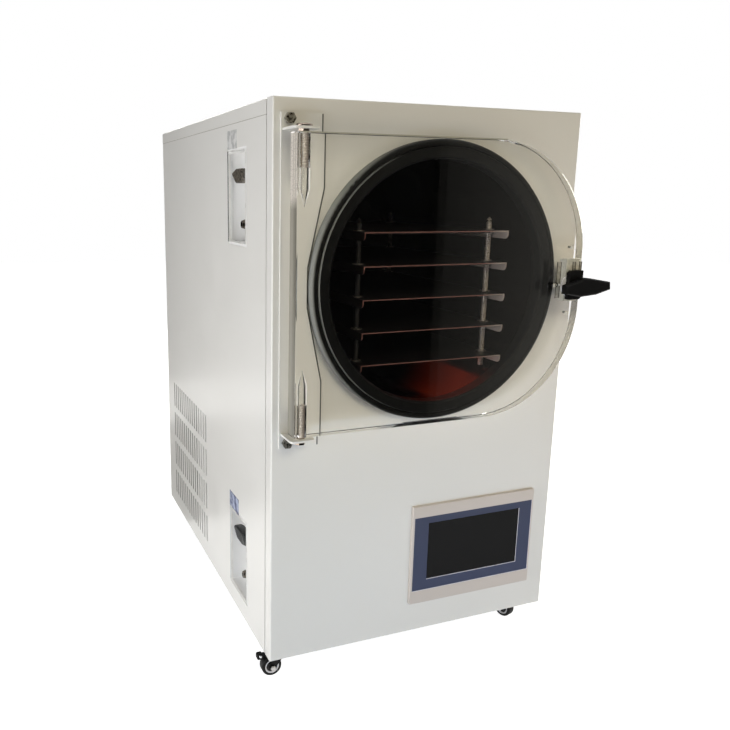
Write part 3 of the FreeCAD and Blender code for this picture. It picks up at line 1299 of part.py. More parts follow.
def makeFan(start):
    """Shroud plate with a round mouth, motor on four arms, five-bladed rotor."""
    margin = "size.condenserMargin"
    plateX = (start, f"({start} + size.shroudWall)")
    mouth = "(size.fanRadius + size.fanGap)"
    depth = f"({plateX[1]} + size.fanGap + size.fanDepth)"
    body = bodyNamed("shroud")
    pad(body, "YZ", plateX[0], plateX[1],
        [rectangle((f"{slotBankY[0]} - {margin}", floorZ),
                   (f"{slotBankY[1]} + {margin}", f"{slotBankZ[1]} + {margin}")),
         (fanY, fanZ, mouth)])
    pad(body, "YZ", plateX[0], f"{depth} + size.fanGap + size.shroudWall",
        [(fanY, fanZ, f"{mouth} + size.shroudWall"), (fanY, fanZ, mouth)])
    spider = (f"({depth} + size.fanGap)", f"({depth} + size.fanGap + size.shroudWall)")
    arm = "size.motorShaft * 1.5"
    reach = f"({mouth} + size.shroudWall / 2)"
    pad(body, "YZ", spider[0], spider[1],
        [[(f"{fanY} - {arm}", f"{fanZ} - {reach}"), (f"{fanY} + {arm}", f"{fanZ} - {reach}"),
          (f"{fanY} + {arm}", f"{fanZ} - {arm}"), (f"{fanY} + {reach}", f"{fanZ} - {arm}"),
          (f"{fanY} + {reach}", f"{fanZ} + {arm}"), (f"{fanY} + {arm}", f"{fanZ} + {arm}"),
          (f"{fanY} + {arm}", f"{fanZ} + {reach}"), (f"{fanY} - {arm}", f"{fanZ} + {reach}"),
          (f"{fanY} - {arm}", f"{fanZ} + {arm}"), (f"{fanY} - {reach}", f"{fanZ} + {arm}"),
          (f"{fanY} - {reach}", f"{fanZ} - {arm}"), (f"{fanY} - {arm}", f"{fanZ} - {arm}")]])
    pad(body, "YZ", spider[0], f"{spider[1]} + size.motorLength", [(fanY, fanZ, "size.motorRadius")])
    pad(body, "YZ", f"{plateX[1]} + size.fanGap", spider[0], [(fanY, fanZ, "size.motorShaft")])
    keep("fan_shroud", body)

    low = f"({plateX[1]} + size.fanGap)"
    high = f"({low} + size.fanDepth)"
    hub = rod("X", "size.hubRadius", low, high, (fanY, fanZ))
    blades = []
    for number in range(int(sheet.bladeCount)):
        blade = doc.addObject("Part::Box", "blade")
        blade.setExpression("Length", "size.bladeWall")
        blade.setExpression("Width", "size.fanDepth / sin(size.bladePitch * 1 deg) * 0.8")
        blade.setExpression("Height", "size.fanRadius * 0.98 - size.hubRadius / 2")
        spin = Rotation(Vector(1, 0, 0), number * 360.0 / sheet.bladeCount)
        tilt = Rotation(Vector(0, 0, 1), 90 - float(sheet.bladePitch))
        blade.Placement = Placement(Vector(at(f"({low} + {high}) / 2"), at(fanY), at(fanZ)),
                                    spin.multiply(tilt))
        middleOf = Vector(-at("size.bladeWall") / 2, -blade.evalExpression("Width").Value / 2,
                          at("size.hubRadius") / 2)
        blade.Placement = blade.Placement.multiply(Placement(middleOf, Rotation()))
        blades.append(blade)
    limit = rod("X", "size.fanRadius", low, high, (fanY, fanZ))
    trimmed = doc.addObject("Part::Common", "blades")
    trimmed.Base = join(blades)
    trimmed.Tool = limit
    bore = rod("X", "size.motorShaft + size.runningGap", low, high, (fanY, fanZ))
    keep("fan_rotor", minus(join([hub, trimmed]), [bore]))


# ---- rear power inlet ----

def makePowerInlet():
    """One flange that holds a three-pin socket and the well of a rocker switch."""
    x, z = f"({right} - size.inletRight)", f"({bottom} + size.inletZ)"
    switchX = f"({right} - size.switchRight)"
    outer = f"({back} - size.sheetWall)"
    lip = f"({outer} + size.trayWall)"
    margin = "size.inletFlange"
    body = bodyNamed("powerInlet")
    pad(body, "XZ", outer, lip,
        [rectangle((f"{switchX} - size.switchWidth / 2 - {margin}",
                    f"{z} - size.inletHeight / 2 - {margin}"),
                   (f"{x} + size.inletWidth / 2 + {margin}",
                    f"{z} + size.inletHeight / 2 + {margin}"))])
    for centre, width, height, depth in (
            (x, "size.inletWidth", "size.inletHeight", "size.inletDepth"),
            (switchX, "size.switchWidth", "size.switchHeight", "size.switchDepth")):
        pad(body, "XZ", f"{outer} - {depth}", outer,
            [rectangle((f"{centre} - {width} / 2", f"{z} - {height} / 2"),
                       (f"{centre} + {width} / 2", f"{z} + {height} / 2"))])
    w, t, c = "size.socketWidth / 2", "size.socketHeight / 2", "size.socketHeight / 4"
    floor = f"({lip} - size.socketDepth)"
    pocket(body, "XZ", floor, lip,
           [[(f"{x} - {w}", f"{z} - {t}"), (f"{x} + {w}", f"{z} - {t}"), (f"{x} + {w}", f"{z} + {c}"),
             (f"{x} + {w} - {c}", f"{z} + {t}"), (f"{x} - {w} + {c}", f"{z} + {t}"),
             (f"{x} - {w}", f"{z} + {c}")]])
    half = "size.prongWidth / 2"
    for shift in ("- size.prongPitch", "", "+ size.prongPitch"):
        pad(body, "XZ", f"{floor} - size.sheetWall", f"{floor} + size.prongLength",
            [rectangle((f"{x} {shift} - {half}", f"{z} - 2 * {half}"),
                       (f"{x} {shift} + {half}", f"{z} + 2 * {half}"))])
    wall = "size.sheetWall"
    wellX = [f"{switchX} {sign} (size.switchWidth / 2 - {wall})" for sign in "-+"]
    wellZ = [f"{z} {sign} (size.switchHeight / 2 - {wall})" for sign in "-+"]
    pocket(body, "XZ", f"{outer} - size.switchDepth + {wall}", lip,
           [rectangle((wellX[0], wellZ[0]), (wellX[1], wellZ[1]))])
    pad(body, "YZ", f"{wellX[0]} - {wall} / 2", f"{wellX[1]} + {wall} / 2",
        [(f"{outer} - size.rockerSet", z, "size.rockerPin")])
    keep("power_inlet", body)


def makeRocker():
    """Rocker that tips on a pin in its well, upper end proud."""
    x, z = f"({right} - size.switchRight)", f"({bottom} + size.inletZ)"
    outer = f"({back} - size.sheetWall)"
    lip = f"({outer} + size.trayWall)"
    wall, gap = "size.sheetWall", "size.seatGap"
    half = f"(size.switchHeight / 2 - {wall} - size.rockerPin)"
    root = f"({outer} - size.rockerSet - size.rockerRoot)"
    body = bodyNamed("rocker")
    reach = f"(size.switchWidth / 2 - {wall} - {gap})"
    pad(body, "YZ", f"{x} - {reach}", f"{x} + {reach}",
        [[(root, f"{z} - size.rockerRoot"), (outer, f"{z} - {half}"),
          (f"{lip} + {gap}", f"{z} - {half} + {gap}"), (f"{outer} + size.rockerPin", z),
          (f"{lip} + size.switchProud", f"{z} + {half} - 2 * {gap}"), (outer, f"{z} + {half}"),
          (root, f"{z} + size.rockerRoot")],
         (f"{outer} - size.rockerSet", z, "size.rockerPin + size.runningGap")])
    keep("power_rocker", body)


makeFascia()
makeSidePanels()
makeRearPanel()
makeTopCover()
makeBaseTray()
makeInnerFrame()
makeChamber()
makeGasket()
makeColdCoil()
makeShelves()
makeRackPosts()
makeDoor()
makeSleeves()
makeHingePlate()
makeHingeBolts()
makePivotBolts()
makeLatchCase()
makeLatchFront()
makeLatchLever()
makeLatchSpindle()
makeStrike()
makeOperatorPanel()
makePocket("upper_pocket", "size.upperPocketZ")
makePocket("lower_pocket", "size.lowerPocketZ")
makeValve("vacuum_valve", "vacuum_knob", "size.upperPocketZ")
makeValve("drain_valve", "drain_knob", "size.lowerPocketZ")
makePipes()
makeCastors()
makeCompressor()
makeFan(makeCondenser())
makePowerInlet()
makeRocker()
doc.recompute()

broken = [item.Label for item in doc.Objects if {"Invalid", "Error"} & set(item.State)]
empty = [item.Label for item in subParts if item.Shape.isNull() or not item.Shape.isValid()]
if broken or empty:
    raise SystemExit("failed: %s %s" % (broken, empty))

os.makedirs("parts", exist_ok=True)
for item in subParts:
    item.Shape.exportStep("parts/%s.step" % item.Label)
    print(item.Label, len(item.Shape.Solids), round(item.Shape.Volume))
print(len(subParts), "sub-parts")
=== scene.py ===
import json
import math
import bpy
import bmesh
import numpy as np
from mathutils import Matrix, Vector


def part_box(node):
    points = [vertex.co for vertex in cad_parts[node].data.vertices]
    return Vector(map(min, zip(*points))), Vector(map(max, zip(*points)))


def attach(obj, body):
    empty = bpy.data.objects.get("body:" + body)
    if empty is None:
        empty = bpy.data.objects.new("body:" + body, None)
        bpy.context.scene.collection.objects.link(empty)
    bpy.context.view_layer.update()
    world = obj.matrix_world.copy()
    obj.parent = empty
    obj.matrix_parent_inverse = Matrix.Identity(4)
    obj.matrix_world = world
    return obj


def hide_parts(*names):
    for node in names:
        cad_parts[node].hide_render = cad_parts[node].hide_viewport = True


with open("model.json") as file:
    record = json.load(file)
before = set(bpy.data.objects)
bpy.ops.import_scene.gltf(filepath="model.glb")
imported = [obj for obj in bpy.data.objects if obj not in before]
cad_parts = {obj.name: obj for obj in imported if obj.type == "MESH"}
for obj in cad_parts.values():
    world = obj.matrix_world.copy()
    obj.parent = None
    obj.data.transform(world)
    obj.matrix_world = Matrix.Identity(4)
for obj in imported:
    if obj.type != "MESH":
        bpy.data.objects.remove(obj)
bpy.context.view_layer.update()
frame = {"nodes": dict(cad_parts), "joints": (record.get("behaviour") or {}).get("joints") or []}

nodes = frame["nodes"]
joints = {joint["name"]: joint for joint in frame["joints"]}
scene = bpy.context.scene
scene.view_settings.view_transform = "Standard"
mm = 0.001
castorCount = 4
shelfCount = 5


def linear(hexColour):
    # sRGB hex to linear RGBA
    parts = [int(hexColour[i:i + 2], 16) / 255 for i in (0, 2, 4)]
    return [c / 12.92 if c <= 0.04045 else ((c + 0.055) / 1.055) ** 2.4 for c in parts] + [1.0]


def addNode(tree, kind, links=None, **settings):
    # one node; links maps a socket to a value or to another node's socket
    node = tree.nodes.new("ShaderNode" + kind)
    for key, value in settings.items():
        setattr(node, key, value)
    for socket, value in (links or {}).items():
        target = node.inputs[socket]
        if isinstance(value, bpy.types.NodeSocket):
            tree.links.new(value, target)
        else:
            target.default_value = value
    return node


def newMaterial(name, colour, roughness, metallic=0.0, **extra):
    # Principled material with constant sockets; gives material, tree, shader and Object coordinates
    material = bpy.data.materials.new(name)
    material.use_nodes = True
    tree = material.node_tree
    shader = tree.nodes["Principled BSDF"]
    shader.inputs["Base Color"].default_value = linear(colour)
    shader.inputs["Roughness"].default_value = roughness
    shader.inputs["Metallic"].default_value = metallic
    for key, value in extra.items():
        shader.inputs[key.replace("_", " ")].default_value = value
    return material, tree, shader, addNode(tree, "TexCoord").outputs["Object"]


def grain(tree, coord, sizeMm, stretch=(1, 1, 1), detail=2.0):
    # noise height with features of a size in millimetres, so its scale is a thousand over the size;
    # a stretch above 1 packs the grain closer along that axis
    mapping = addNode(tree, "Mapping", {"Vector": coord, "Scale": stretch})
    return addNode(tree, "TexNoise", {"Vector": mapping.outputs["Vector"], "Scale": 1 / mm / sizeMm,
                                      "Detail": detail}).outputs["Fac"]


def span(tree, value, low, high, start=0.3, end=0.7):
    # a value between start and end becomes one between low and high
    return addNode(tree, "MapRange", {"Value": value, "From Min": start, "From Max": end,
                                      "To Min": low, "To Max": high}).outputs["Result"]


def blendColour(tree, factor, first, second):
    # first colour where the factor is 0, second where it is 1; each a hex or a socket
    colours = [linear(c) if isinstance(c, str) else c for c in (first, second)]
    return addNode(tree, "Mix", {"Factor": factor, "A": colours[0], "B": colours[1]},
                   data_type="RGBA").outputs["Result"]


def ramp(tree, value, stops):
    # colours by a value from 0 to 1
    node = addNode(tree, "ValToRGB", {"Fac": value})
    while len(node.color_ramp.elements) < len(stops):
        node.color_ramp.elements.new(1.0)
    for element, (place, colour) in zip(node.color_ramp.elements, stops):
        element.position, element.color = place, linear(colour)
    return node.outputs["Color"]


def emboss(tree, shader, height, depthMm):
    # bump with its real depth
    bump = addNode(tree, "Bump", {"Height": height, "Distance": depthMm * mm})
    feed(tree, shader, "Normal", bump.outputs["Normal"])


def feed(tree, shader, socket, value):
    # a node's output into one socket of a shader
    tree.links.new(value, shader.inputs[socket])


def axes(tree, vector):
    # the X, Y and Z of a vector
    return addNode(tree, "SeparateXYZ", {"Vector": vector}).outputs


def combine(tree, operation, first, second):
    # one number from two: their product, or the larger of them
    return addNode(tree, "Math", {0: first, 1: second}, operation=operation).outputs[0]


def ownCoords(tree):
    # outputs of the material's coordinate node: Object is the place in metres, Normal the facing
    return [n for n in tree.nodes if n.bl_idname == "ShaderNodeTexCoord"][0].outputs


def poreMask(tree, coord, grainMm, start=0.42, end=0.62, depth=1.0):
    # 0 on the skin and the depth in its pores, which are the upper part of a fine noise
    return span(tree, grain(tree, coord, grainMm, detail=5.0), 0.0, depth, start, end)


def powderCoat(name, colour, other):
    # polyester powder coat, baked: semi-gloss, with a soft orange-peel of 3 mm waves
    material, tree, shader, coord = newMaterial(name, colour, 0.36, Coat_Weight=0.12, Coat_Roughness=0.14)
    feed(tree, shader, "Base Color", blendColour(tree, grain(tree, coord, 320), colour, other))
    feed(tree, shader, "Roughness", span(tree, grain(tree, coord, 60, detail=4.0), 0.32, 0.42))
    emboss(tree, shader, grain(tree, coord, 3.2), 0.015)
    return material


# metres: where the bank of slots starts, how far it ends before the panel's rear and above its foot,
# and the widths over which the painted slot shade comes and goes
slotBank = {"start": 0.10, "come": 0.01, "rear": 0.03, "foot": 0.015, "fade": 0.005}


def slottedSide():
    # powder-coated side: grey painted shade inside the bank of slots where a face turns away from left and
    # right, as the punched walls of the louvres do
    material = powderCoat("white powder coat, painted shade in slots", "E9E8E4", "E4E3DE")
    tree = material.node_tree
    shader = tree.nodes["Principled BSDF"]
    coat = shader.inputs["Base Color"].links[0].from_socket
    normal, place = axes(tree, ownCoords(tree)["Normal"]), axes(tree, ownCoords(tree)["Object"])
    low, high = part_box("left_side_panel")
    b = slotBank
    rear, foot = high.y - b["rear"], low.z + b["foot"]
    facing = addNode(tree, "Math", {0: normal["X"]}, operation="ABSOLUTE").outputs[0]
    slotShade = span(tree, facing, 1.0, 0.0, 0.2, 0.6)
    for bank in (span(tree, place["Y"], 0.0, 1.0, b["start"], b["start"] + b["come"]),
                 span(tree, place["Y"], 1.0, 0.0, rear, rear + b["fade"]),
                 span(tree, place["Z"], 0.0, 1.0, foot, foot + b["fade"])):
        slotShade = combine(tree, "MULTIPLY", slotShade, bank)
    # 989590 is the painted shade on the louvres' walls
    feed(tree, shader, "Base Color", blendColour(tree, slotShade, coat, "989590"))
    return material


def moulded(name, colour, roughness, peelMm, depthMm=0.02, **extra):
    # moulded rubber or plastic: even colour, fine peel from the tool
    material, tree, shader, coord = newMaterial(name, colour, roughness, **extra)
    feed(tree, shader, "Roughness", span(tree, grain(tree, coord, 15, detail=4.0),
                                         roughness - 0.05, roughness + 0.06))
    emboss(tree, shader, grain(tree, coord, peelMm), depthMm)
    return material


def gasketSkin():
    # moulded EPDM: clean black, a little paler where it faces down as painted light from below, and grey
    # where its left half faces left, a painted highlight
    material = moulded("moulded EPDM rubber", "0B0C0C", 0.4, 1.4, 0.03, Specular_IOR_Level=0.2)
    tree = material.node_tree
    normal, place = axes(tree, ownCoords(tree)["Normal"]), axes(tree, ownCoords(tree)["Object"])
    # paler where it faces down: painted light from below
    body = blendColour(tree, span(tree, normal["Z"], 1.0, 0.0, -0.9, -0.2), "090A0A", "1A1B1B")
    # grey on the left half's left faces: a painted highlight
    paintedHighlight = combine(tree, "MULTIPLY", span(tree, normal["X"], 1.0, 0.0, -0.9, -0.3),
                     span(tree, place["X"], 1.0, 0.0, -0.1, 0.0))
    feed(tree, tree.nodes["Principled BSDF"], "Base Color", blendColour(tree, paintedHighlight, body, "939694"))
    return material


def brushed(name, colour, roughness, grainMm, stretch, depthMm=0.01, metallic=1.0):
    # brushed or drawn metal: fine parallel scratches, drawn as coarse as they need to show
    material, tree, shader, coord = newMaterial(name, colour, roughness, metallic)
    height = grain(tree, coord, grainMm, stretch, 3.0)
    feed(tree, shader, "Roughness", span(tree, height, roughness - 0.06, roughness + 0.08))
    emboss(tree, shader, height, depthMm)
    return material


def stippled(name, colour, dark, roughness, grainMm, metallic):
    # matt skin with a dark stipple in its pores, as on passivated metal, phenolic or printed vinyl
    material, tree, shader, coord = newMaterial(name, colour, roughness, metallic)
    pores = poreMask(tree, coord, grainMm)
    feed(tree, shader, "Base Color", blendColour(tree, pores, colour, dark))
    emboss(tree, shader, pores, 0.05)
    return material


shelfShade = {"from": 0.040, "to": 0.012}      # metres from the right end, where the painted shade on the flanges gives way


def shelfSheet():
    # 304 stainless with a dull mill finish: the flat top is dark and mottled, the cut front edge reddish, and
    # the flanges and edge are darker towards the left by painted shade, bright only towards the right
    material, tree, shader, coord = newMaterial("mill finish stainless sheet", "B5A6A0", 0.42, 0.3)
    normal, place = axes(tree, ownCoords(tree)["Normal"]), axes(tree, coord)
    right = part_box("shelf_1")[1].x
    # 0 where painted shade darkens the flanges and edge, 1 near the right end
    litRight = span(tree, place["X"], 0.0, 1.0, right - shelfShade["from"], right - shelfShade["to"])
    cut = span(tree, normal["Y"], 1.0, 0.0, -0.9, -0.5)
    flange = blendColour(tree, litRight, "2A2320", "B9ADA6")
    edge = blendColour(tree, litRight, "7E5650", "A2958E")
    sides = blendColour(tree, cut, flange, edge)
    mottled = blendColour(tree, grain(tree, coord, 40, detail=4.0), "100F10", "191514")
    top = span(tree, normal["Z"], 0.0, 1.0, 0.5, 0.9)
    feed(tree, shader, "Base Color", blendColour(tree, top, sides, mottled))
    emboss(tree, shader, grain(tree, coord, 14, (0.2, 1, 6), 3.0), 0.01)
    return material


def rackRod():
    # threaded zinc rods: painted shade makes the left ones dark, the right ones bright
    material, tree, shader, coord = newMaterial("threaded zinc rod", "8D857F", 0.5, 0.7)
    low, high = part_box("rack_posts")
    inset = 0.06      # metres from the rack's sides, where a rod is wholly in painted shade or wholly bright
    # 0 at the left, where painted shade darkens the rods, 1 at the right
    paintedLight = span(tree, axes(tree, coord)["X"], 0.0, 1.0, low.x + inset, high.x - inset)
    pores = poreMask(tree, coord, 1.6)
    bright = blendColour(tree, pores, "C6BDB5", "6E6661")
    feed(tree, shader, "Base Color", blendColour(tree, paintedLight, "100E0E", bright))
    feed(tree, shader, "Metallic", span(tree, paintedLight, 0.1, 0.7, 0.0, 1.0))
    emboss(tree, shader, pores, 0.05)
    return material


# metres: the heights over which painted shade darkens the mats, and the places from their left and right ends
# between which the lowest one turns to a painted glow; these move right by the lean for each metre to the
# back
matShade = {"low": 0.010, "high": 0.030, "left": 0.040, "right": 0.055, "lean": 0.55, "glow": 0.8}


def heaterSilicone():
    # orange silicone mats: dark with painted shade, but for the lowest one, which has a faint painted glow
    # towards the right
    material, tree, shader, coord = newMaterial("orange silicone sheet", "C4441A", 0.5)
    low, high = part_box("heater_mats")
    upper = span(tree, axes(tree, coord)["Z"], 0.0, 1.0, low.z + matShade["low"], low.z + matShade["high"])
    lean = matShade["lean"]
    slanted = addNode(tree, "VectorMath", {0: coord, 1: (1.0, -lean, 0.0)}, operation="DOT_PRODUCT")
    start, end = low.x - lean * low.y + matShade["left"], high.x - lean * low.y - matShade["right"]
    # 1 where painted shade darkens the mats, 0 where the lowest one glows
    shadedMat = combine(tree, "MAXIMUM", upper, span(tree, slanted.outputs["Value"], 1.0, 0.0, start, end))
    shadedOrange = blendColour(tree, shadedMat, "DE431C", "150706")
    feed(tree, shader, "Base Color", shadedOrange)
    # the emission is a painted glow; the mat is no lamp
    feed(tree, shader, "Emission Color", shadedOrange)
    feed(tree, shader, "Emission Strength", span(tree, shadedMat, matShade["glow"], 0.0, 0.0, 1.0))
    emboss(tree, shader, grain(tree, coord, 2.0), 0.03)
    return material


holeViewSpan = {"from": 0.096, "to": 0.080}      # metres below the door's top, where its painted lines turn to the paler painted view of the hole


def clearEdge():
    # sawn and flame-polished acrylic edge: dark grey lines along its length are painted reflections, and it
    # is paler over the upper hole, a painted view of the hole's walls showing through it
    material, tree, shader, coord = newMaterial("acrylic edge, painted reflections", "8E8A80", 0.3, Coat_Weight=0.3)
    low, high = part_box("door_panel")
    place = axes(tree, coord)
    depth = span(tree, place["Y"], 0.0, 1.0, low.y, high.y)
    # painted reflections: grey bands across the edge's depth
    body = ramp(tree, depth, [(0.0, "938D80"), (0.1, "68645A"), (0.3, "6C685E"), (0.45, "7B776C"),
                              (0.6, "8C887C"), (0.9, "858174"), (1.0, "A19C90")])
    holeView = ramp(tree, depth, [(0.0, "B5AC9F"), (0.12, "F6EFE6"), (0.25, "B9B1A6"), (0.4, "EAE3D9"),
                               (0.55, "C4BCB1"), (0.7, "EEE7DE"), (1.0, "D5CFC5")])
    streak = grain(tree, coord, 6, (1, 3, 0.05), 3.0)
    paintedLight = blendColour(tree, span(tree, streak, 0.0, 0.22), body, "B9B6AB")
    holeView = blendColour(tree, poreMask(tree, coord, 1.8, 0.46, 0.64, 0.7), holeView, "8F877F")
    top = span(tree, place["Z"], 0.0, 1.0, high.z - holeViewSpan["from"], high.z - holeViewSpan["to"])
    feed(tree, shader, "Base Color", blendColour(tree, top, paintedLight, holeView))
    return material


def drilledWall():
    # wall of a drilled hole in acrylic: clear where it faces the eye or the back, and bright where it is seen
    # along the surface, a painted glow standing in for total reflection
    material, tree, shader, coord = newMaterial("drilled acrylic wall", "8A8882", 0.55,
                                                Emission_Color=linear("F3F0E8"))
    facing = addNode(tree, "LayerWeight", {"Blend": 0.5}).outputs["Facing"]
    glowRings = grain(tree, coord, 3, (0.3, 0.3, 2.0), 2.0)
    near = span(tree, axes(tree, ownCoords(tree)["Normal"])["Y"], 1.0, 0.0, 0.0, 0.25)
    edge = combine(tree, "MULTIPLY", span(tree, facing, 0.0, 1.0, 0.3, 0.42), near)
    # painted glow in rings, in place of the wall's total reflection
    feed(tree, shader, "Emission Strength", span(tree, glowRings, 0.5, 0.8))
    feed(tree, shader, "Alpha", edge)
    return material


def sleeveMetal():
    # threaded sleeve, passivated: a painted highlight on its left and painted shade on its right, by its
    # facing
    material, tree, shader, coord = newMaterial("passivated threaded insert", "C0B5A8", 0.45, 0.2)
    # painted shading: light on faces turned to the left front, dark on those turned right
    side = addNode(tree, "VectorMath", {0: ownCoords(tree)["Normal"], 1: (0.93, -0.36, 0.0)},
                   operation="DOT_PRODUCT")
    paintedShading = ramp(tree, span(tree, side.outputs["Value"], 0.0, 1.0, -1.0, 1.0),
                [(0.05, "8C8580"), (0.2, "B4ACA5"), (0.3, "FFFAF5"), (0.5, "F8F0EA"), (0.62, "CFC6BF"),
                 (0.74, "918984"), (0.9, "7F7874")])
    pores = poreMask(tree, coord, 1.6, 0.45, 0.65, 0.6)
    feed(tree, shader, "Base Color", blendColour(tree, pores, paintedShading, "857D7B"))
    emboss(tree, shader, pores, 0.05)
    return material


powder = powderCoat("white powder coat", "E9E8E4", "E4E3DE")
# paler copy of the powder coat for the pockets: painted light, making up for the shade in their recesses
powderLifted = powderCoat("white powder coat, painted lift in recesses", "FAFAF9", "F5F5F3")
powderSide = slottedSide()
# white strips, painted light: the pockets' seals cover their gaps' shade and the trims draw their rims'
# highlight; the stop pin uses it too
whiteLiftTrim = moulded("white trim, painted highlight and lift", "F7F6F2", 0.28, 3.0, Coat_Weight=0.3)
# black strip for the upper pocket's lip: painted shade in the gap behind the tray
shadeLipBlack = moulded("black strip, painted shade", "1B1B1C", 0.8, 1.0, 0.06)
gasketRubber = gasketSkin()
tyreRubber = moulded("moulded tyre rubber", "060606", 0.5, 1.2, 0.03, Specular_IOR_Level=0.2)
rimNylon = moulded("grey moulded nylon rim", "E2DEDE", 0.35, 1.0)
hubNylon = moulded("black moulded nylon hub", "111111", 0.4, 1.0, Specular_IOR_Level=0.3)
# two tones of black phenolic: a paler grey stipple for the vacuum knob, a darker one for the drain knob
knobPhenolic = stippled("black phenolic knob", "6A6357", "1A1611", 0.5, 2.4, 0.0)
knobDark = stippled("black phenolic knob, darker", "2B2D2D", "0E0F0F", 0.5, 2.4, 0.0)
siliconeOrange = heaterSilicone()
vesselSteel = brushed("electropolished stainless vessel", "4E4A46", 0.14, 90, (0.3, 3, 0.3), 0.004)
shelfSteel = shelfSheet()
zincSteel = brushed("bright zinc plate", "B9B8B6", 0.28, 12, (1, 1, 1))
rodSteel = rackRod()
insertSteel = sleeveMetal()
pivotSteel = brushed("brown oxide steel", "978A7E", 0.2, 8, (1, 1, 1))
hexSteel = stippled("dull zinc hex bolt", "A8A498", "25221D", 0.3, 3.4, 0.7)
caseSteel = brushed("passivated latch case", "E6E3D8", 0.5, 20, (1, 1, 0.1), 0.01, 0.0)
galvanised = brushed("galvanised sheet", "83868A", 0.42, 25, (1, 1, 1))
chrome = newMaterial("bright chrome plate", "DADCDF", 0.08, 1.0)[0]
lilacEnamel = moulded("pale enamelled washer", "FBF9FC", 0.3, 2.0)
clearScrew = moulded("clear nylon screw", "DAD7CC", 0.35, 2.0)
aluminiumFin = brushed("mill finish aluminium", "8F9194", 0.35, 10, (1, 1, 6))
champagne = brushed("champagne anodised aluminium", "D6CDC5", 0.42, 20, (0.4, 1, 14), 0.004, 0.1)
highlightStrip = newMaterial("painted highlight strip", "EDEAF2", 0.3, 0.2)[0]
copper = brushed("drawn copper", "8F5F49", 0.3, 12, (1, 1, 1))
nozzleBrass = brushed("dark nickelled brass", "6E675D", 0.25, 10, (1, 1, 1))
blackEnamel = moulded("satin black enamel", "050505", 0.5, 2.0, 0.01, Specular_IOR_Level=0.2)
blackPlastic = moulded("black moulded nylon", "0F0E0D", 0.4, 0.8)
navyFilm = moulded("navy printed film", "464D67", 0.4, 3.0, 0.004)
displayGlass = newMaterial("black display glass", "252525", 0.12, Coat_Weight=0.3, Coat_Roughness=0.05)[0]
labelFilm = stippled("pale vinyl label", "D3D3D1", "ABACAB", 0.6, 9, 0.0)
labelBlue = stippled("grey-blue vinyl label", "AEB6CC", "323C66", 0.6, 14, 0.0)
labelEdge = moulded("grey label border", "4F5259", 0.5, 6.0, 0.004)
acrylic = newMaterial("cast acrylic sheet", "FCFBF8", 0.0, 0.0, Transmission_Weight=1.0, IOR=1.49)[0]
acrylicEdge = clearEdge()
acrylicDrill = drilledWall()

finishes = {
    powder: ["front_fascia", "rear_panel", "top_cover", "hinge_plate"],
    powderSide: ["left_side_panel", "right_side_panel"],
    powderLifted: ["upper_pocket", "lower_pocket"],
    galvanised: ["base_tray", "inner_frame"],
    vesselSteel: ["chamber_vessel"],
    gasketRubber: ["door_gasket"],
    copper: ["cold_coil", "vacuum_pipe", "drain_pipe"],
    shelfSteel: ["shelf_%d" % n for n in range(1, 1 + shelfCount)],
    siliconeOrange: ["heater_mats"],
    rodSteel: ["rack_posts"],
    hexSteel: ["hinge_bolts"],
    pivotSteel: ["pivot_bolts", "pivot_nuts"],
    insertSteel: ["hinge_sleeves"],
    caseSteel: ["latch_case"],
    zincSteel: ["latch_spindle", "latch_cam", "latch_strike", "castor_plates"],
    acrylic: ["door_panel"],
    lilacEnamel: ["latch_escutcheon"],
    clearScrew: ["latch_screws"],
    blackEnamel: ["latch_lever", "latch_base", "compressor", "fan_shroud", "castor_brake_1", "castor_brake_2"]
                 + ["castor_fork_%d" % n for n in range(1, 1 + castorCount)],
    champagne: ["panel_frame"],
    navyFilm: ["panel_bezel"],
    displayGlass: ["panel_screen"],
    knobPhenolic: ["vacuum_knob"],
    knobDark: ["drain_knob"],
    blackPlastic: ["panel_housing", "power_inlet", "power_rocker", "fan_rotor"],
    nozzleBrass: ["vacuum_valve", "drain_valve"],
    tyreRubber: ["castor_wheel_%d" % n for n in range(1, 1 + castorCount)],
    aluminiumFin: ["condenser"],
}
for material, names in finishes.items():
    for name in names:
        nodes[name].data.materials.clear()
        nodes[name].data.materials.append(material)
print("finishes on", sum(len(names) for names in finishes.values()), "solids")


def smoothSolid(name, angle=28):
    # CAD solid shaded smooth up to an angle; its loose triangles are welded by a modifier
    solid = nodes[name]
    solid.data.polygons.foreach_set("use_smooth", np.ones(len(solid.data.polygons), bool))
    solid.modifiers.new("weld", "WELD").merge_threshold = 1e-5
    solid.modifiers.new("split", "EDGE_SPLIT").split_angle = math.radians(angle)


for name in nodes:
    smoothSolid(name)
nodes["door_panel"].visible_shadow = False      # clear acrylic passes the light


def corners(name):
    # a node's lowest and highest corners in millimetres
    low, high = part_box(name)
    return np.array(low) / mm, np.array(high) / mm


def surface(rows, closedRows=True, closedGrid=False):
    # rows[k, i] is point i of row k: quads join neighbours, each row may close on itself, and the
    # last row may meet the first; otherwise the end rows are filled
    rows = np.asarray(rows, float)
    index = np.arange(rows.shape[0] * rows.shape[1]).reshape(rows.shape[:2])
    if closedRows:
        index = np.hstack([index, index[:, :1]])
    if closedGrid:
        index = np.vstack([index, index[:1]])
    quads = np.stack([index[:-1, :-1], index[1:, :-1], index[1:, 1:], index[:-1, 1:]], -1).reshape(-1, 4)
    ends = [] if closedGrid or not closedRows else [index[0, :-1][::-1], index[-1, :-1]]
    return rows.reshape(-1, 3), quads, ends


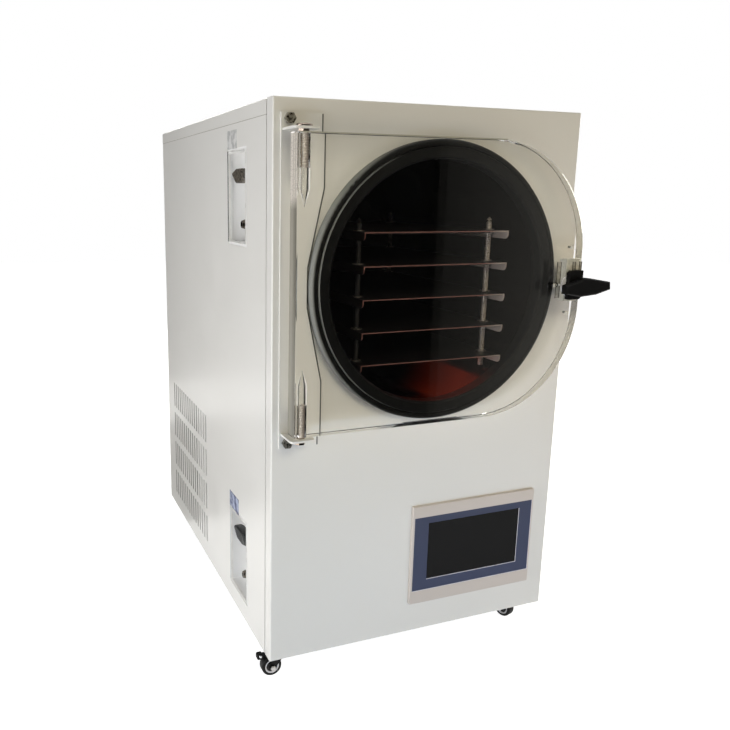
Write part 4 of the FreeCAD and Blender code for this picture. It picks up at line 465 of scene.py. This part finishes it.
def makePiece(name, parts, material, body, stands=(), crease=30):
    # surfaces joined into one mesh with its faces outwards, riding on a body
    points = np.concatenate([part[0] for part in parts])
    starts = np.cumsum([0] + [len(part[0]) for part in parts])
    faces = []
    for start, (_, quads, ends) in zip(starts, parts):
        faces += (quads + start).tolist() + [(end + start).tolist() for end in ends]
    mesh = bpy.data.meshes.new(name)
    mesh.from_pydata((points * mm).tolist(), [], faces)
    shape = bmesh.new()
    shape.from_mesh(mesh)
    bmesh.ops.recalc_face_normals(shape, faces=shape.faces)
    shape.to_mesh(mesh)
    shape.free()
    mesh.polygons.foreach_set("use_smooth", np.ones(len(mesh.polygons), bool))
    mesh.materials.append(material)
    piece = bpy.data.objects.new(name, mesh)
    scene.collection.objects.link(piece)
    piece.modifiers.new("split", "EDGE_SPLIT").split_angle = math.radians(crease)
    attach(piece, body)
    if stands:
        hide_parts(*stands)
    return piece


def basis(axis):
    # two unit vectors across an axis
    axis = np.array(axis, float) / np.linalg.norm(axis)
    first = np.cross(axis, (0, 0, 1) if abs(axis[2]) < 0.9 else (1, 0, 0))
    first /= np.linalg.norm(first)
    return axis, first, np.cross(axis, first)


def turned(profile, centre, axis, steps=48, ring=False):
    # profile of (radius, height) pairs turned about an axis; ring says that it closes on itself
    axis, first, second = basis(axis)
    profile = np.asarray(profile, float)
    angle = np.linspace(0, 2 * np.pi, steps, endpoint=False)
    circle = np.cos(angle)[:, None] * first + np.sin(angle)[:, None] * second
    rows = np.array(centre, float) + profile[:, 1, None, None] * axis + profile[:, 0, None, None] * circle
    return surface(rows, True, ring)


def roundRect(width, height, radius, steps=6):
    # outline of a rectangle with round corners, centred, anticlockwise
    radius = max(radius, 0.01)
    angle = np.linspace(0, np.pi / 2, steps)
    corner = np.stack([np.cos(angle), np.sin(angle)], -1) * radius
    turns = [np.array([[c, -s], [s, c]]) for c, s in ((1, 0), (0, 1), (-1, 0), (0, -1))]
    offsets = np.array([[1, 1], [-1, 1], [-1, -1], [1, -1]]) * (width / 2 - radius, height / 2 - radius)
    return np.concatenate([corner @ turn.T + offset for turn, offset in zip(turns, offsets)])


def laid(outlines, levels, origin, across, up, out, ring=False):
    # flat outlines stacked at levels above an origin
    across, up, out = (np.array(v, float) for v in (across, up, out))
    rows = [np.array(origin, float) + o[:, :1] * across + o[:, 1:] * up + level * out
            for o, level in zip(outlines, levels)]
    return surface(rows, True, ring)


def plate(width, height, radius, thickness, edge, origin, across, up, out):
    # flat plate with a rounded front edge
    turn = np.linspace(0, np.pi / 2, 4)
    insets = np.concatenate([[0.0], edge * (1 - np.cos(turn))])
    levels = np.concatenate([[0.0], thickness - edge + edge * np.sin(turn)])
    outlines = [roundRect(width - 2 * i, height - 2 * i, radius - i) for i in insets]
    return laid(outlines, levels, origin, across, up, out)


def hoop(width, height, radius, band, low, high, origin, across, up, out):
    # rectangular frame: a band round an opening, between two levels
    inner = roundRect(width, height, radius)
    outer = roundRect(width + 2 * band, height + 2 * band, radius + band)
    return laid([inner, outer, outer, inner], [low, low, high, high], origin, across, up, out, True)


left, back, upwards = (-1, 0, 0), (0, 1, 0), (0, 0, 1)
front, across = (0, -1, 0), (1, 0, 0)
onLeft, onFront = (back, upwards, left), (across, upwards, front)      # across, up and out

# every size below is in millimetres
pocketFinish = {"rimInset": 9.0, "sealSide": 1.2, "sealEnd": 0.9, "sealGap": 0.15, "sealWall": 1.2,
                "sealProud": 0.05, "lipWidth": 4.2, "lipRound": 0.5, "lipThick": 0.12, "lipEdge": 0.04,
                "trimInset": 3.2, "trimDepth": 3.2, "trimProud": 0.05, "trimWall": 0.5, "corner": 1.6}
labels = {"upper": {"width": 48.0, "height": 27.0, "gap": 3.4},
          "lower": {"width": 49.0, "height": 27.0, "gap": 0.6},
          "rear": 4.5, "thick": 0.25, "round": 1.5, "edge": 0.1, "border": 1.2, "borderRound": 1.0,
          "borderWall": 0.5, "borderSunk": 0.05, "borderProud": 0.06}


def dressPocket(key, film, edging, lip):
    # a white seal in the gap round the tray that paints out the gap's shade, a lip behind it in painted
    # shade, a white trim on the tray's mouth as a painted highlight on its rim, and the bare label above it
    # with a border
    p, label = pocketFinish, labels[key]
    low, high = corners(key + "_pocket")
    width, height = high[1] - low[1] - 2 * p["rimInset"], high[2] - low[2] - 2 * p["rimInset"]
    centre = (low + high) / 2
    mouth = np.array([low[0], centre[1], centre[2]])
    gap, wide, slim = p["sealGap"], p["sealGap"] + p["sealSide"], p["sealGap"] + p["sealEnd"]
    inner = roundRect(width + 2 * gap, height + 2 * gap, p["corner"])
    outer = roundRect(width + 2 * wide, height + 2 * slim, p["corner"] + slim)
    levels = [-p["sealWall"], -p["sealWall"], p["sealProud"], p["sealProud"]]
    # the white seal paints out the shade in the gap
    seal = laid([inner, outer, outer, inner], levels, mouth, *onLeft, True)
    makePiece(key + "_pocket_seal", [seal], whiteLiftTrim, "cabinet")
    # the lip's colour is painted shade in the gap at the tray's rear side
    behind = plate(p["lipWidth"], height + 2 * slim, p["lipRound"], p["lipThick"], p["lipEdge"],
                   (mouth[0], centre[1] + width / 2 + gap + p["lipWidth"] / 2, centre[2]), *onLeft)
    makePiece(key + "_pocket_lip", [behind], lip, "cabinet")
    inset = 2 * p["trimWall"] + p["trimInset"]
    # the white trim is a painted highlight on the tray's rim
    trim = hoop(width - inset, height - inset, p["corner"], p["trimWall"], -p["trimDepth"], p["trimProud"],
                mouth, *onLeft)
    makePiece(key + "_pocket_trim", [trim], whiteLiftTrim, "cabinet")
    place = np.array([low[0], centre[1] + width / 2 + labels["rear"] - label["width"] / 2,
                      centre[2] + height / 2 + label["gap"] + label["height"] / 2])
    sheet = plate(label["width"], label["height"], labels["round"], labels["thick"], labels["edge"], place,
                  *onLeft)
    makePiece(key + "_label", [sheet], film, "cabinet")
    border = hoop(label["width"] - 2 * labels["border"], label["height"] - 2 * labels["border"],
                  labels["borderRound"], labels["borderWall"], labels["thick"] - labels["borderSunk"],
                  labels["thick"] + labels["borderProud"], place, *onLeft)
    makePiece(key + "_label_border", [border], edging, "cabinet")


dressPocket("upper", labelFilm, labelFilm, shadeLipBlack)
# the lower pocket's lip is pale grey painted shade
dressPocket("lower", labelBlue, labelEdge, moulded("pale grey strip, painted shade", "BFC2C2", 0.7, 2.0))
print("pockets and labels")

lidStrip = {"gap": 1.0, "inset": 0.7, "wall": 1.0, "front": 0.2, "clear": 0.05}


def fillLidSeam():
    # grey strip of painted shade in the seam under the lid's band, all round but the front
    low, high = corners("top_cover")
    gap, inset, wall, clear = (lidStrip[key] for key in ("gap", "inset", "wall", "clear"))
    x0, x1, y0, y1 = low[0] + inset, high[0] - inset, low[1] + lidStrip["front"], high[1] - inset
    outside = [(x0, y0), (x0, y1), (x1, y1), (x1, y0)]
    inside = [(x1 - wall, y0), (x1 - wall, y1 - wall), (x0 + wall, y1 - wall), (x0 + wall, y0)]
    outline = np.array(outside + inside)
    strip = laid([outline, outline], [clear, gap - clear], (0, 0, low[2] - gap), across, back, upwards)
    # the strip's grey is painted shade, softer than the open seam
    foam = moulded("grey seam strip, painted shade", "A9A69E", 0.8, 2.0)
    makePiece("lid_seam_strip", [strip], foam, "cabinet")


fillLidSeam()

insert = {"length": 44.0, "thread": 3.4, "crest": 0.05, "depth": 0.55, "runOut": 1.5, "bore": 4.05,
          "steps": 40, "perThread": 8}


def threadedInsert(low, high, centre, radius):
    # sleeve whose thread bites into the acrylic: the radius falls by the thread's depth once each
    # pitch, shifted by the angle round it, and not at all at the ends
    count = int((high - low) / insert["thread"] * insert["perThread"])
    height = np.linspace(low, high, count)[:, None]
    angle = np.linspace(0, 2 * np.pi, insert["steps"], endpoint=False)[None, :]
    phase = (height - low) / insert["thread"] - angle / (2 * np.pi)
    fade = np.clip(np.minimum(height - low, high - height) / insert["runOut"], 0, 1)
    outer = radius - insert["depth"] * fade * (0.5 + 0.5 * np.cos(2 * np.pi * phase)) ** 2
    outer = np.vstack([outer, np.full((2, insert["steps"]), insert["bore"])])
    height = np.vstack([height, [[high], [low]]]) + 0 * angle
    angle = angle + 0 * height
    rows = np.stack([centre[0] + outer * np.cos(angle), centre[1] + outer * np.sin(angle), height], -1)
    return surface(rows, True, True)


def makeInserts():
    # a threaded sleeve in the top and in the bottom of the door's hinge side
    low, high = corners("hinge_sleeves")
    length = insert["length"]
    centre, radius = (low + high) / 2, (high[0] - low[0]) / 2 + insert["crest"]
    parts = [threadedInsert(high[2] - length, high[2], centre, radius),
             threadedInsert(low[2], low[2] + length, centre, radius)]
    makePiece("hinge_inserts", parts, insertSteel, "door", ["hinge_sleeves"], 50)
    return centre


pivotCentre = makeInserts()
drill = {"depth": 71.0, "tip": 22.0, "radius": 7.0, "film": 0.08, "point": 0.05, "steps": 9}


def makeDrillWalls():
    # thin frosted skin just outside the drill's radius round each hole, straight from the insert to
    # the hole's depth and then narrowing evenly to its point
    low, high = corners("door_panel")
    radius = drill["radius"] + drill["film"]
    steps = np.linspace(0, 1, drill["steps"])
    start, depth = insert["length"], drill["depth"]
    side = np.stack([np.full(len(steps), radius), start + steps * (depth - start)], -1)
    tip = np.stack([radius * (1 - steps[1:]) + drill["point"], depth + steps[1:] * drill["tip"]], -1)
    profile = np.vstack([side, tip])
    parts = []
    for end, axis in ((high[2], -1), (low[2], 1)):
        points, quads, ends = turned(profile, (pivotCentre[0], pivotCentre[1], end), (0, 0, axis), 40)
        parts.append((points, quads, ends[1:]))
    makePiece("drilled_hole_walls", parts, acrylicDrill, "door", crease=60)


makeDrillWalls()

sawnEdge = {"inset": 2.6, "round": 0.2, "thick": 0.2, "edge": 0.05, "proud": 0.05}
doorRim = {"left": 2.0, "right": 148.0, "wide": 1.7, "down": 0.75, "round": 0.2, "thick": 0.06, "edge": 0.02}


def makeDoorEdge():
    # thin skins on the door: its sawn left edge between the chamfers, and a grey painted highlight along its
    # top edge
    low, high = corners("door_panel")
    centre = (low + high) / 2
    s, rim = sawnEdge, doorRim
    skin = plate(high[1] - low[1] - s["inset"], high[2] - low[2] - s["inset"], s["round"], s["thick"],
                 s["edge"], (low[0] - s["proud"], centre[1], centre[2]), *onLeft)
    makePiece("door_edge_left", [skin], acrylicEdge, "door")
    x0, x1 = low[0] + rim["left"], high[0] - rim["right"]
    line = plate(x1 - x0, rim["wide"], rim["round"], rim["thick"], rim["edge"],
                 ((x0 + x1) / 2, low[1], high[2] - rim["down"]), *onFront)
    # grey strip on the top chamfer: a painted highlight
    makePiece("door_edge_top", [line], moulded("top edge strip, painted highlight", "A9A799", 0.4, 3.0), "door")


makeDoorEdge()
pad = {"thick": 0.6, "right": 3.2, "down": 0.5, "plate": 3.5}


def makeHingePad():
    # thin dark grey pad under the hinge plate, a little proud of its right edge, painting the plate's cast
    # shadow there: the plate's own outline, flattened and set over
    source = nodes["hinge_plate"].data
    points = np.empty(len(source.vertices) * 3)
    source.vertices.foreach_get("co", points)
    points = points.reshape(-1, 3)
    rear = points[:, 1].max()
    depth = np.clip((rear - points[:, 1]) / (pad["plate"] * mm), 0, 1)
    points[:, 1] = rear - depth * pad["thick"] * mm
    points[:, 0] += pad["right"] * mm
    points[:, 2] -= pad["down"] * mm
    mesh = source.copy()
    mesh.name = "hinge_plate_shadow_pad"
    mesh.vertices.foreach_set("co", points.ravel())
    mesh.materials.clear()
    # dark grey: painted shadow beside the plate
    mesh.materials.append(moulded("dark grey pad, painted shadow", "4C4C49", 0.7, 2.0))
    piece = bpy.data.objects.new("hinge_plate_shadow_pad", mesh)
    scene.collection.objects.link(piece)
    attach(piece, "cabinet")


makeHingePad()
print("hinge and door edge")

stopScrew = {"left": 26.4, "up": 2.0, "radius": 2.7, "height": 2.2, "chamfer": 0.5, "socket": 1.5,
             "socketDeep": 1.8, "washer": 3.9, "washerHigh": 1.1, "washerEdge": 0.3, "clear": 0.05}
stopPin = {"left": 20.9, "radius": 2.0, "profile": ((1.0, 0.4), (1.0, 1.2), (0.7, 1.9), (0.3, 2.1))}


def makeStopScrew():
    # blackened cap screw on a washer left of the latch, with a socket in its head, and a pale pin
    # beside it: the pin's profile is in parts of its radius and in millimetres of height
    low, high = corners("latch_spindle")
    centre = (low + high) / 2
    face = corners("door_panel")[0][1]
    z = centre[2] + stopScrew["up"]
    radius, height, chamfer, socket, deep, washer, top, edge, clear = (stopScrew[key] for key in (
        "radius", "height", "chamfer", "socket", "socketDeep", "washer", "washerHigh", "washerEdge", "clear"))
    head = [(washer, clear), (washer, top - edge), (washer - edge, top), (radius, top + clear),
            (radius, height - chamfer), (radius - chamfer, height), (socket, height), (socket, height - deep)]
    makePiece("stop_screw", [turned(head, (centre[0] - stopScrew["left"], face, z), front, 36)],
              stippled("blackened screw", "4E4C46", "1C1A18", 0.5, 2, 0.0), "door")
    nub = np.array(stopPin["profile"]) * (stopPin["radius"], 1)
    makePiece("stop_pin", [turned(nub, (centre[0] - stopPin["left"], face, z), front, 6)], whiteLiftTrim,
              "door")


makeStopScrew()

window = {"skin": 0.12, "gap": 0.2, "fit": 0.04, "round": 0.5, "clear": 0.15}
cover = {"over": 0.4, "round": 0.3, "thick": 0.2, "edge": 0.05, "sunk": 0.02}
strips = {"bars": (((-26.0, 6.8), -18.0), ((2.4, 5.0), 14.0), ((14.6, 4.0), 14.0)), "top": 35.5, "round": 0.3,
          "thick": 0.3, "edge": 0.1, "line": 1.3, "lineRound": 0.2, "lineOver": 0.12, "lineEdge": 0.05}


def makeLatchWindow():
    # matt sawn walls of the latch's window, the grey plate over its case, which paints over the case's shade,
    # and three flat strips with dark lines of painted shade down their sides; each strip has its start and
    # width from the spindle, and its foot
    low, high = corners("latch_spindle")
    centre = (low + high) / 2
    caseLow, caseHigh = corners("latch_case")
    doorLow, doorHigh = corners("door_panel")
    middle, face = (caseLow + caseHigh) / 2, doorLow[1]
    caseWidth, caseHeight = caseHigh[0] - caseLow[0], caseHigh[2] - caseLow[2]
    w, c, s = window, cover, strips
    grow = 2 * (w["gap"] + w["fit"])
    walls = hoop(caseWidth + grow, caseHeight + grow, w["round"], w["skin"], w["clear"],
                 doorHigh[1] - face - w["clear"], (middle[0], doorHigh[1], middle[2]), *onFront)
    makePiece("latch_window_walls", [walls], stippled("matt sawn acrylic", "CCCABE", "B9B7AB", 0.7, 4, 0.0),
              "door")
    sheet = plate(caseWidth + c["over"], caseHeight + c["over"], c["round"], c["thick"], c["edge"],
                  (middle[0], face + c["sunk"], middle[2]), *onFront)
    # pale grey over the case: painted light in place of its shaded face
    faced = stippled("grey cover plate, painted lift", "C9C7BA", "B4B2A4", 0.6, 5, 0.0)
    makePiece("latch_case_cover", [sheet], faced, "door")
    bars, lines = [], []
    for (start, wide), foot in s["bars"]:
        place = (centre[0] + start + wide / 2, face, centre[2] + (foot + s["top"]) / 2)
        bars.append(plate(wide, s["top"] - foot, s["round"], s["thick"], s["edge"], place, *onFront))
        for x in (place[0] - wide / 2, place[0] + wide / 2):
            lines.append(plate(s["line"], s["top"] - foot, s["lineRound"], s["thick"] + s["lineOver"],
                               s["lineEdge"], (x, face, place[2]), *onFront))
    makePiece("latch_bars", bars, stippled("grey zinc strip", "A9A79B", "8B897E", 0.5, 4, 0.0), "door")
    # dark lines down the strips' sides: painted shade
    makePiece("latch_bar_edges", lines, moulded("dark strip edge, painted shade", "46433C", 0.5, 3.0), "door")


makeLatchWindow()
print("latch")

screenTrim = {"width": 1.0, "proud": 0.12, "under": 0.7, "over": 0.1, "side": 0.9, "round": 0.1, "edge": 0.05}


def makePanelTrim():
    # painted highlights: bright strips under and right of the screen, and under and right of the printed film
    low, high = corners("panel_bezel")
    screenLow, screenHigh = corners("panel_screen")
    t = screenTrim
    parts = []
    for x0, z0, x1, z1 in (
            (screenLow[0], screenLow[2] - t["width"], screenHigh[0] + t["width"], screenLow[2]),
            (screenHigh[0], screenLow[2] - t["width"], screenHigh[0] + t["width"], screenHigh[2]),
            (low[0], low[2] - t["under"], high[0], low[2] + t["over"]),
            (high[0] - t["over"], low[2] - t["under"], high[0] + t["side"], high[2])):
        parts.append(plate(x1 - x0, z1 - z0, t["round"], t["proud"], t["edge"],
                           ((x0 + x1) / 2, low[1], (z0 + z1) / 2), *onFront))
    # bright strips on the lit sides only: painted highlights of the chamfers
    makePiece("panel_hairlines", parts, highlightStrip, "cabinet")


makePanelTrim()
print("panel")

wheelForm = {"tread": 16.0, "half": 7.5, "round": 2.6, "ringOut": 11.4, "ringIn": 8.9, "hub": 8.9,
             "ringDepth": 0.3, "hubDepth": 2.0, "bore": 3.1, "dish": ((4.6, 1.6), (5.2, 0.5), (7.4, 0.0))}
axleBolt = {"radius": 3.6, "out": 12.3, "high": 2.0, "flange": 0.7, "flangeHigh": 0.5, "chamfer": (0.5, 0.4)}


def mirrored(profile):
    # one half of a wheel's profile, and the same half on the other side
    profile = np.array(profile)
    return np.vstack([profile, profile[::-1] * (1, -1)])


def dressCastor(number):
    # tyre with round shoulders, a light moulded rim band, a dished dark hub, and the axle's hex heads
    w, b = wheelForm, axleBolt
    spin = joints["wheel_spin_%d" % number]
    centre, axis = np.array(spin["pos_m"]) / mm, np.array(spin["axis"])
    wheel = "wheel_%d" % number
    turn = np.linspace(0, np.pi / 2, 6)
    shoulder = np.stack([w["tread"] - w["round"] * (1 - np.cos(turn)),
                         w["half"] - w["round"] * (1 - np.sin(turn))], -1)
    tyre = np.vstack([[(w["ringOut"] - 0.2, w["half"] - 1.0), (w["ringOut"], w["half"])], shoulder[::-1]])
    makePiece(wheel + "_tyre", [turned(mirrored(tyre), centre, axis, 72, True)], tyreRubber, wheel,
              ["castor_wheel_%d" % number])
    side = w["half"] - w["ringDepth"]
    band = [(w["ringIn"], side - 1.2), (w["ringIn"] + 0.3, side - 0.2), (w["ringIn"] + 0.8, side + 0.15),
            (w["ringOut"] - 0.5, side + 0.15), (w["ringOut"], side - 0.3), (w["ringOut"], side - 1.4)]
    makePiece(wheel + "_rim", [turned(mirrored(band), centre, axis, 72, True)], rimNylon, wheel)
    base = w["half"] - w["hubDepth"]
    hub = [(w["bore"], base + w["dish"][0][1])] + [(radius, base + level) for radius, level in w["dish"]]
    hub += [(w["hub"], base + 0.5), (w["hub"] + 0.2, base - 0.8)]
    makePiece(wheel + "_hub", [turned(mirrored(hub), centre, axis, 60, True)], hubNylon, wheel)
    wide = b["radius"] + b["flange"]
    head = [(wide, 0.0), (wide, b["flangeHigh"]), (b["radius"], b["flangeHigh"] + 0.1),
            (b["radius"], b["high"] - b["chamfer"][1]), (b["radius"] - b["chamfer"][0], b["high"])]
    parts = [turned(head, centre + axis * sign * b["out"], axis * sign, 6) for sign in (-1, 1)]
    makePiece("castor_%d_bolt" % number, parts, zincSteel, "castor_%d" % number)


for number in range(1, 1 + castorCount):
    dressCastor(number)

rivet = {"radius": 2.0, "reach": 29.3, "in": 5.2, "down": 4.0, "out": 4.8,
         "dome": ((1.0, -0.2), (1.0, 0.1), (0.85, 0.54), (0.4, 0.9))}


def rivetBrake(number):
    # domed rivet on each flat side of the pedal's tread block, whose end is at the reach from the pin;
    # the dome is in parts of the radius and in millimetres of height
    press = joints["brake_press_%d" % number]
    axis, pin = np.array(press["axis"]), np.array(press["pos_m"]) / mm
    low, high = corners("castor_brake_%d" % number)
    centre = (low + high) / 2
    forward = np.array([centre[0] - pin[0], centre[1] - pin[1], 0.0])
    forward /= np.linalg.norm(forward)
    place = pin + forward * (rivet["reach"] - rivet["in"])
    place[2] = high[2] - rivet["down"]
    dome = np.array(rivet["dome"]) * (rivet["radius"], 1)
    parts = [turned(dome, place + axis * sign * rivet["out"], axis * sign, 24) for sign in (-1, 1)]
    makePiece("brake_%d_rivets" % number, parts, chrome, "brake_%d" % number)


rivetBrake(1)
rivetBrake(2)
print("castors")

fitting = {"rod": 4.0, "play": 0.15, "washer": 8.2, "thick": 1.1, "chamfer": (0.3, 0.2), "clear": 0.02,
           "collar": 0.3, "point": 0.4, "tip": 4.6, "cornerHalf": 7.5, "flatHalf": 6.5}


def makeRackFittings():
    # a washer on each shelf at each rod, and the rods' pointed ends
    f = fitting
    low, high = corners("rack_posts")
    levels = [corners("shelf_%d" % n)[1][2] for n in range(1, 1 + shelfCount)]
    bore, wide, (inset, drop) = f["rod"] + f["play"], f["washer"], f["chamfer"]
    ring = [(bore, f["clear"]), (wide, f["clear"]), (wide, f["thick"] - drop), (wide - inset, f["thick"]),
            (bore, f["thick"])]
    point = [(f["rod"], f["clear"]), (f["rod"], f["collar"]), (f["point"], f["tip"])]
    washers, tips = [], []
    for x in (low[0] + f["cornerHalf"], high[0] - f["cornerHalf"]):
        for y in (low[1] + f["flatHalf"], high[1] - f["flatHalf"]):
            washers += [turned(ring, (x, y, z), upwards, 28, True) for z in levels]
            tips.append(turned(point, (x, y, high[2]), upwards, 28))
    makePiece("rack_washers", washers, brushed("bright washer", "C9C2BC", 0.3, 6, (1, 1, 1)), "cabinet")
    makePiece("rack_rod_points", tips, rodSteel, "cabinet")


makeRackFittings()

rearScrews = {"edge": 9.0, "foot": 27.0, "rows": 5, "columns": 3, "radius": 3.4, "high": 1.6, "clear": 0.02,
              "dome": ((1.0, 0.0), (0.96, 0.5), (0.7, 0.9), (0.35, 1.0), (0.3, 0.4))}


def makeRearScrews():
    # pan-head screws round the rear panel; the dome is in parts of a screw's radius and height
    r = rearScrews
    low, high = corners("rear_panel")
    zs = np.linspace(low[2] + r["foot"], high[2] - r["edge"], r["rows"])
    xs = np.linspace(low[0] + r["edge"], high[0] - r["edge"], r["columns"])
    places = [(x, z) for x in (xs[0], xs[-1]) for z in zs] + [(xs[1], zs[-1])]
    dome = np.array(r["dome"]) * (r["radius"], r["high"])
    parts = [turned(dome, (x, high[1] + r["clear"], z), back, 24) for x, z in places]
    makePiece("rear_screws", parts, zincSteel, "cabinet")


makeRearScrews()
print("rack and rear")

# metres and watts; the floor's glow lifts it to nearly white for the eye near the object, and wholly
# so where the fade ends
studio = {
    "floor": 14.0,
    "floorColour": "D8D8D6",
    "floorGlow": 0.87,
    "floorFade": (0.62, 1.5),
    "ambient": 0.0,
    "velvet": "060606",
    "cloth": "585858",
    "cardLevel": (0.08, 0.27),
    "cardSpan": (0.30, 0.60),
    "lamps": {
        "high": {"place": (0.08, -2.6, 2.0), "aim": (0.0, -0.3, 0.9), "size": (1.6, 0.8), "watts": 21.6,
                 "colour": "FFF7DC"},
        "low": {"place": (0.1, -0.9, 0.12), "aim": (0.1, -0.3, 0.05), "size": (1.6, 0.2), "watts": 2.3,
                "colour": "C4DEFF"},
        "right": {"place": (0.9, -1.4, 0.35), "aim": (0.2, -0.3, 0.1), "size": (1.0, 0.5), "watts": 4.1,
                  "colour": "FFE5C9"},
        "left": {"place": (-1.6, -0.45, 0.5), "aim": (-0.25, -0.1, 0.5), "size": (0.8, 0.8), "watts": 15.6,
                 "colour": "FFFEFF"},
        "back": {"place": (0.4, 2.6, 1.3), "aim": (0.1, 0.37, 0.5), "size": (1.0, 0.8), "watts": 26.0,
                 "colour": "FFFCF4"},
        "side": {"place": (2.2, 0.9, 0.9), "aim": (0.26, 0.1, 0.5), "size": (0.8, 0.8), "watts": 18.0,
                 "colour": "FFFCF4"},
        "above": {"place": (0.0, 0.3, 2.5), "aim": (0.0, 0.1, 0.85), "size": (0.4, 0.5), "watts": 12.0,
                  "colour": "FFFCF4"},
    },
}


def eyeAndGloss(tree):
    # 1 for what the camera, metal and glass see, 0 for light on the object: the larger of three rays
    rays = addNode(tree, "LightPath")
    seen = combine(tree, "MAXIMUM", rays.outputs["Is Camera Ray"], rays.outputs["Is Glossy Ray"])
    return combine(tree, "MAXIMUM", seen, rays.outputs["Is Transmission Ray"])


def stagePlane(name, points, material, glossOnly, seenThrough=True):
    # a plain quad of the studio: a flag shows in glossy surfaces only, and one that is not seen
    # through stays out of clear ones
    mesh = bpy.data.meshes.new(name)
    mesh.from_pydata(points, [], [tuple(range(len(points)))])
    mesh.materials.append(material)
    item = bpy.data.objects.new(name, mesh)
    scene.collection.objects.link(item)
    for kind in ("camera", "diffuse", "shadow"):
        setattr(item, "visible_" + kind, not glossOnly)
    item.visible_transmission = seenThrough


def makeFloor():
    # pale paper that catches the shadows, lifted for the eye by a glow that rises with the distance
    half = studio["floor"] / 2
    material, tree, shader, coord = newMaterial("matt paper floor", studio["floorColour"], 0.9)
    away = addNode(tree, "VectorMath", {0: coord}, operation="LENGTH").outputs["Value"]
    level = span(tree, away, studio["floorGlow"], 1.0, *studio["floorFade"])
    glow = combine(tree, "MULTIPLY", eyeAndGloss(tree), level)
    emission = addNode(tree, "Emission", {"Color": (1, 1, 1, 1), "Strength": glow})
    both = addNode(tree, "AddShader", {0: shader.outputs["BSDF"], 1: emission.outputs["Emission"]})
    tree.links.new(both.outputs["Shader"], tree.nodes["Material Output"].inputs["Surface"])
    square = [(-half, -half, 0), (half, -half, 0), (half, half, 0), (-half, half, 0)]
    stagePlane("floor", square, material, False)


def makeWorld():
    # white to the camera, metal and glass; the ambient level, if any, on the object
    world = bpy.data.worlds.new("studio")
    scene.world = world
    world.use_nodes = True
    tree = world.node_tree
    background = tree.nodes["Background"]
    background.inputs["Color"].default_value = (1, 1, 1, 1)
    feed(tree, background, "Strength", span(tree, eyeAndGloss(tree), studio["ambient"], 1.0, 0.0, 1.0))


def areaLight(name, place, aim, size, watts, colour):
    # soft rectangular lamp that faces a point
    lamp = bpy.data.lights.new(name, "AREA")
    lamp.shape = "RECTANGLE"
    lamp.size, lamp.size_y = size
    lamp.energy = watts
    lamp.color = linear(colour)[:3]
    item = bpy.data.objects.new(name, lamp)
    scene.collection.objects.link(item)
    item.location = place
    item.rotation_euler = (Vector(aim) - Vector(place)).to_track_quat("-Z", "Y").to_euler()


# metres: the corners of each, upright or flat, from its lower left one round
flagCorners = {
    "flag_front": [(-0.92, -0.8, 0.0), (1.6, -0.8, 0.0), (1.6, -0.8, 1.75), (-0.92, -0.8, 1.75)],
    "flag_low": [(-0.25, -0.8, 0.004), (3.4, -0.8, 0.004), (3.4, -0.36, 0.004), (-0.25, -0.36, 0.004)],
    "card_front": [(0.27, -0.79, 0.2), (0.8, -0.79, 0.2), (0.8, -0.79, 0.95), (0.27, -0.79, 0.95)],
    "flag_rear": [(-1.6, 0.3, 0.004), (-0.27, 0.3, 0.004), (-0.27, 1.05, 0.004), (-1.6, 1.05, 0.004)],
    "flag_side": [(-4.0, 1.0, 0.0), (-0.4, 1.6, 0.0), (-0.4, 1.6, 3.0), (-4.0, 1.0, 3.0)],
}


def makeFlags():
    # black velvet in front and over the floor before the door, a soft card before the velvet that
    # brightens to the right, and grey cloths behind on the left: only glossy surfaces see them, so
    # the clear door stays clear and the side keeps its depth, and the cloths are not seen through it
    velvet = newMaterial("black velvet flag", studio["velvet"], 1.0)[0]
    cloth = newMaterial("grey cloth flag", studio["cloth"], 1.0)[0]
    card, tree, shader, coord = newMaterial("grey reflector card", "000000", 1.0,
                                            Emission_Color=linear("FFFBF0"))
    feed(tree, shader, "Emission Strength",
         span(tree, axes(tree, coord)["X"], *studio["cardLevel"], *studio["cardSpan"]))
    skins = {"flag_front": velvet, "flag_low": velvet, "card_front": card}
    for name, points in flagCorners.items():
        stagePlane(name, points, skins.get(name, cloth), True, name in skins)


cameraView = {"place": (-0.5939, -1.2271, 0.7275), "yaw": 20.69, "pitch": 11.97, "roll": 0.40,
              "lens": 36.505, "sensor": 36.0, "shift": (0.11877, -0.01877)}


def makeCamera():
    # a person's view from left of the front corner, turned down by the pitch and right by the yaw
    view = cameraView
    lens = bpy.data.cameras.new("camera")
    lens.lens, lens.sensor_width = view["lens"], view["sensor"]
    lens.shift_x, lens.shift_y = view["shift"]
    camera = bpy.data.objects.new("camera", lens)
    scene.collection.objects.link(camera)
    turn = (Matrix.Rotation(-math.radians(view["yaw"]), 4, "Z")
            @ Matrix.Rotation(math.radians(90 - view["pitch"]), 4, "X")
            @ Matrix.Rotation(math.radians(view["roll"]), 4, "Z"))
    camera.matrix_world = Matrix.Translation(view["place"]) @ turn
    scene.camera = camera


makeFloor()
makeWorld()
makeFlags()
makeCamera()
for name, lamp in studio["lamps"].items():
    areaLight(name, **lamp)
print("studio")
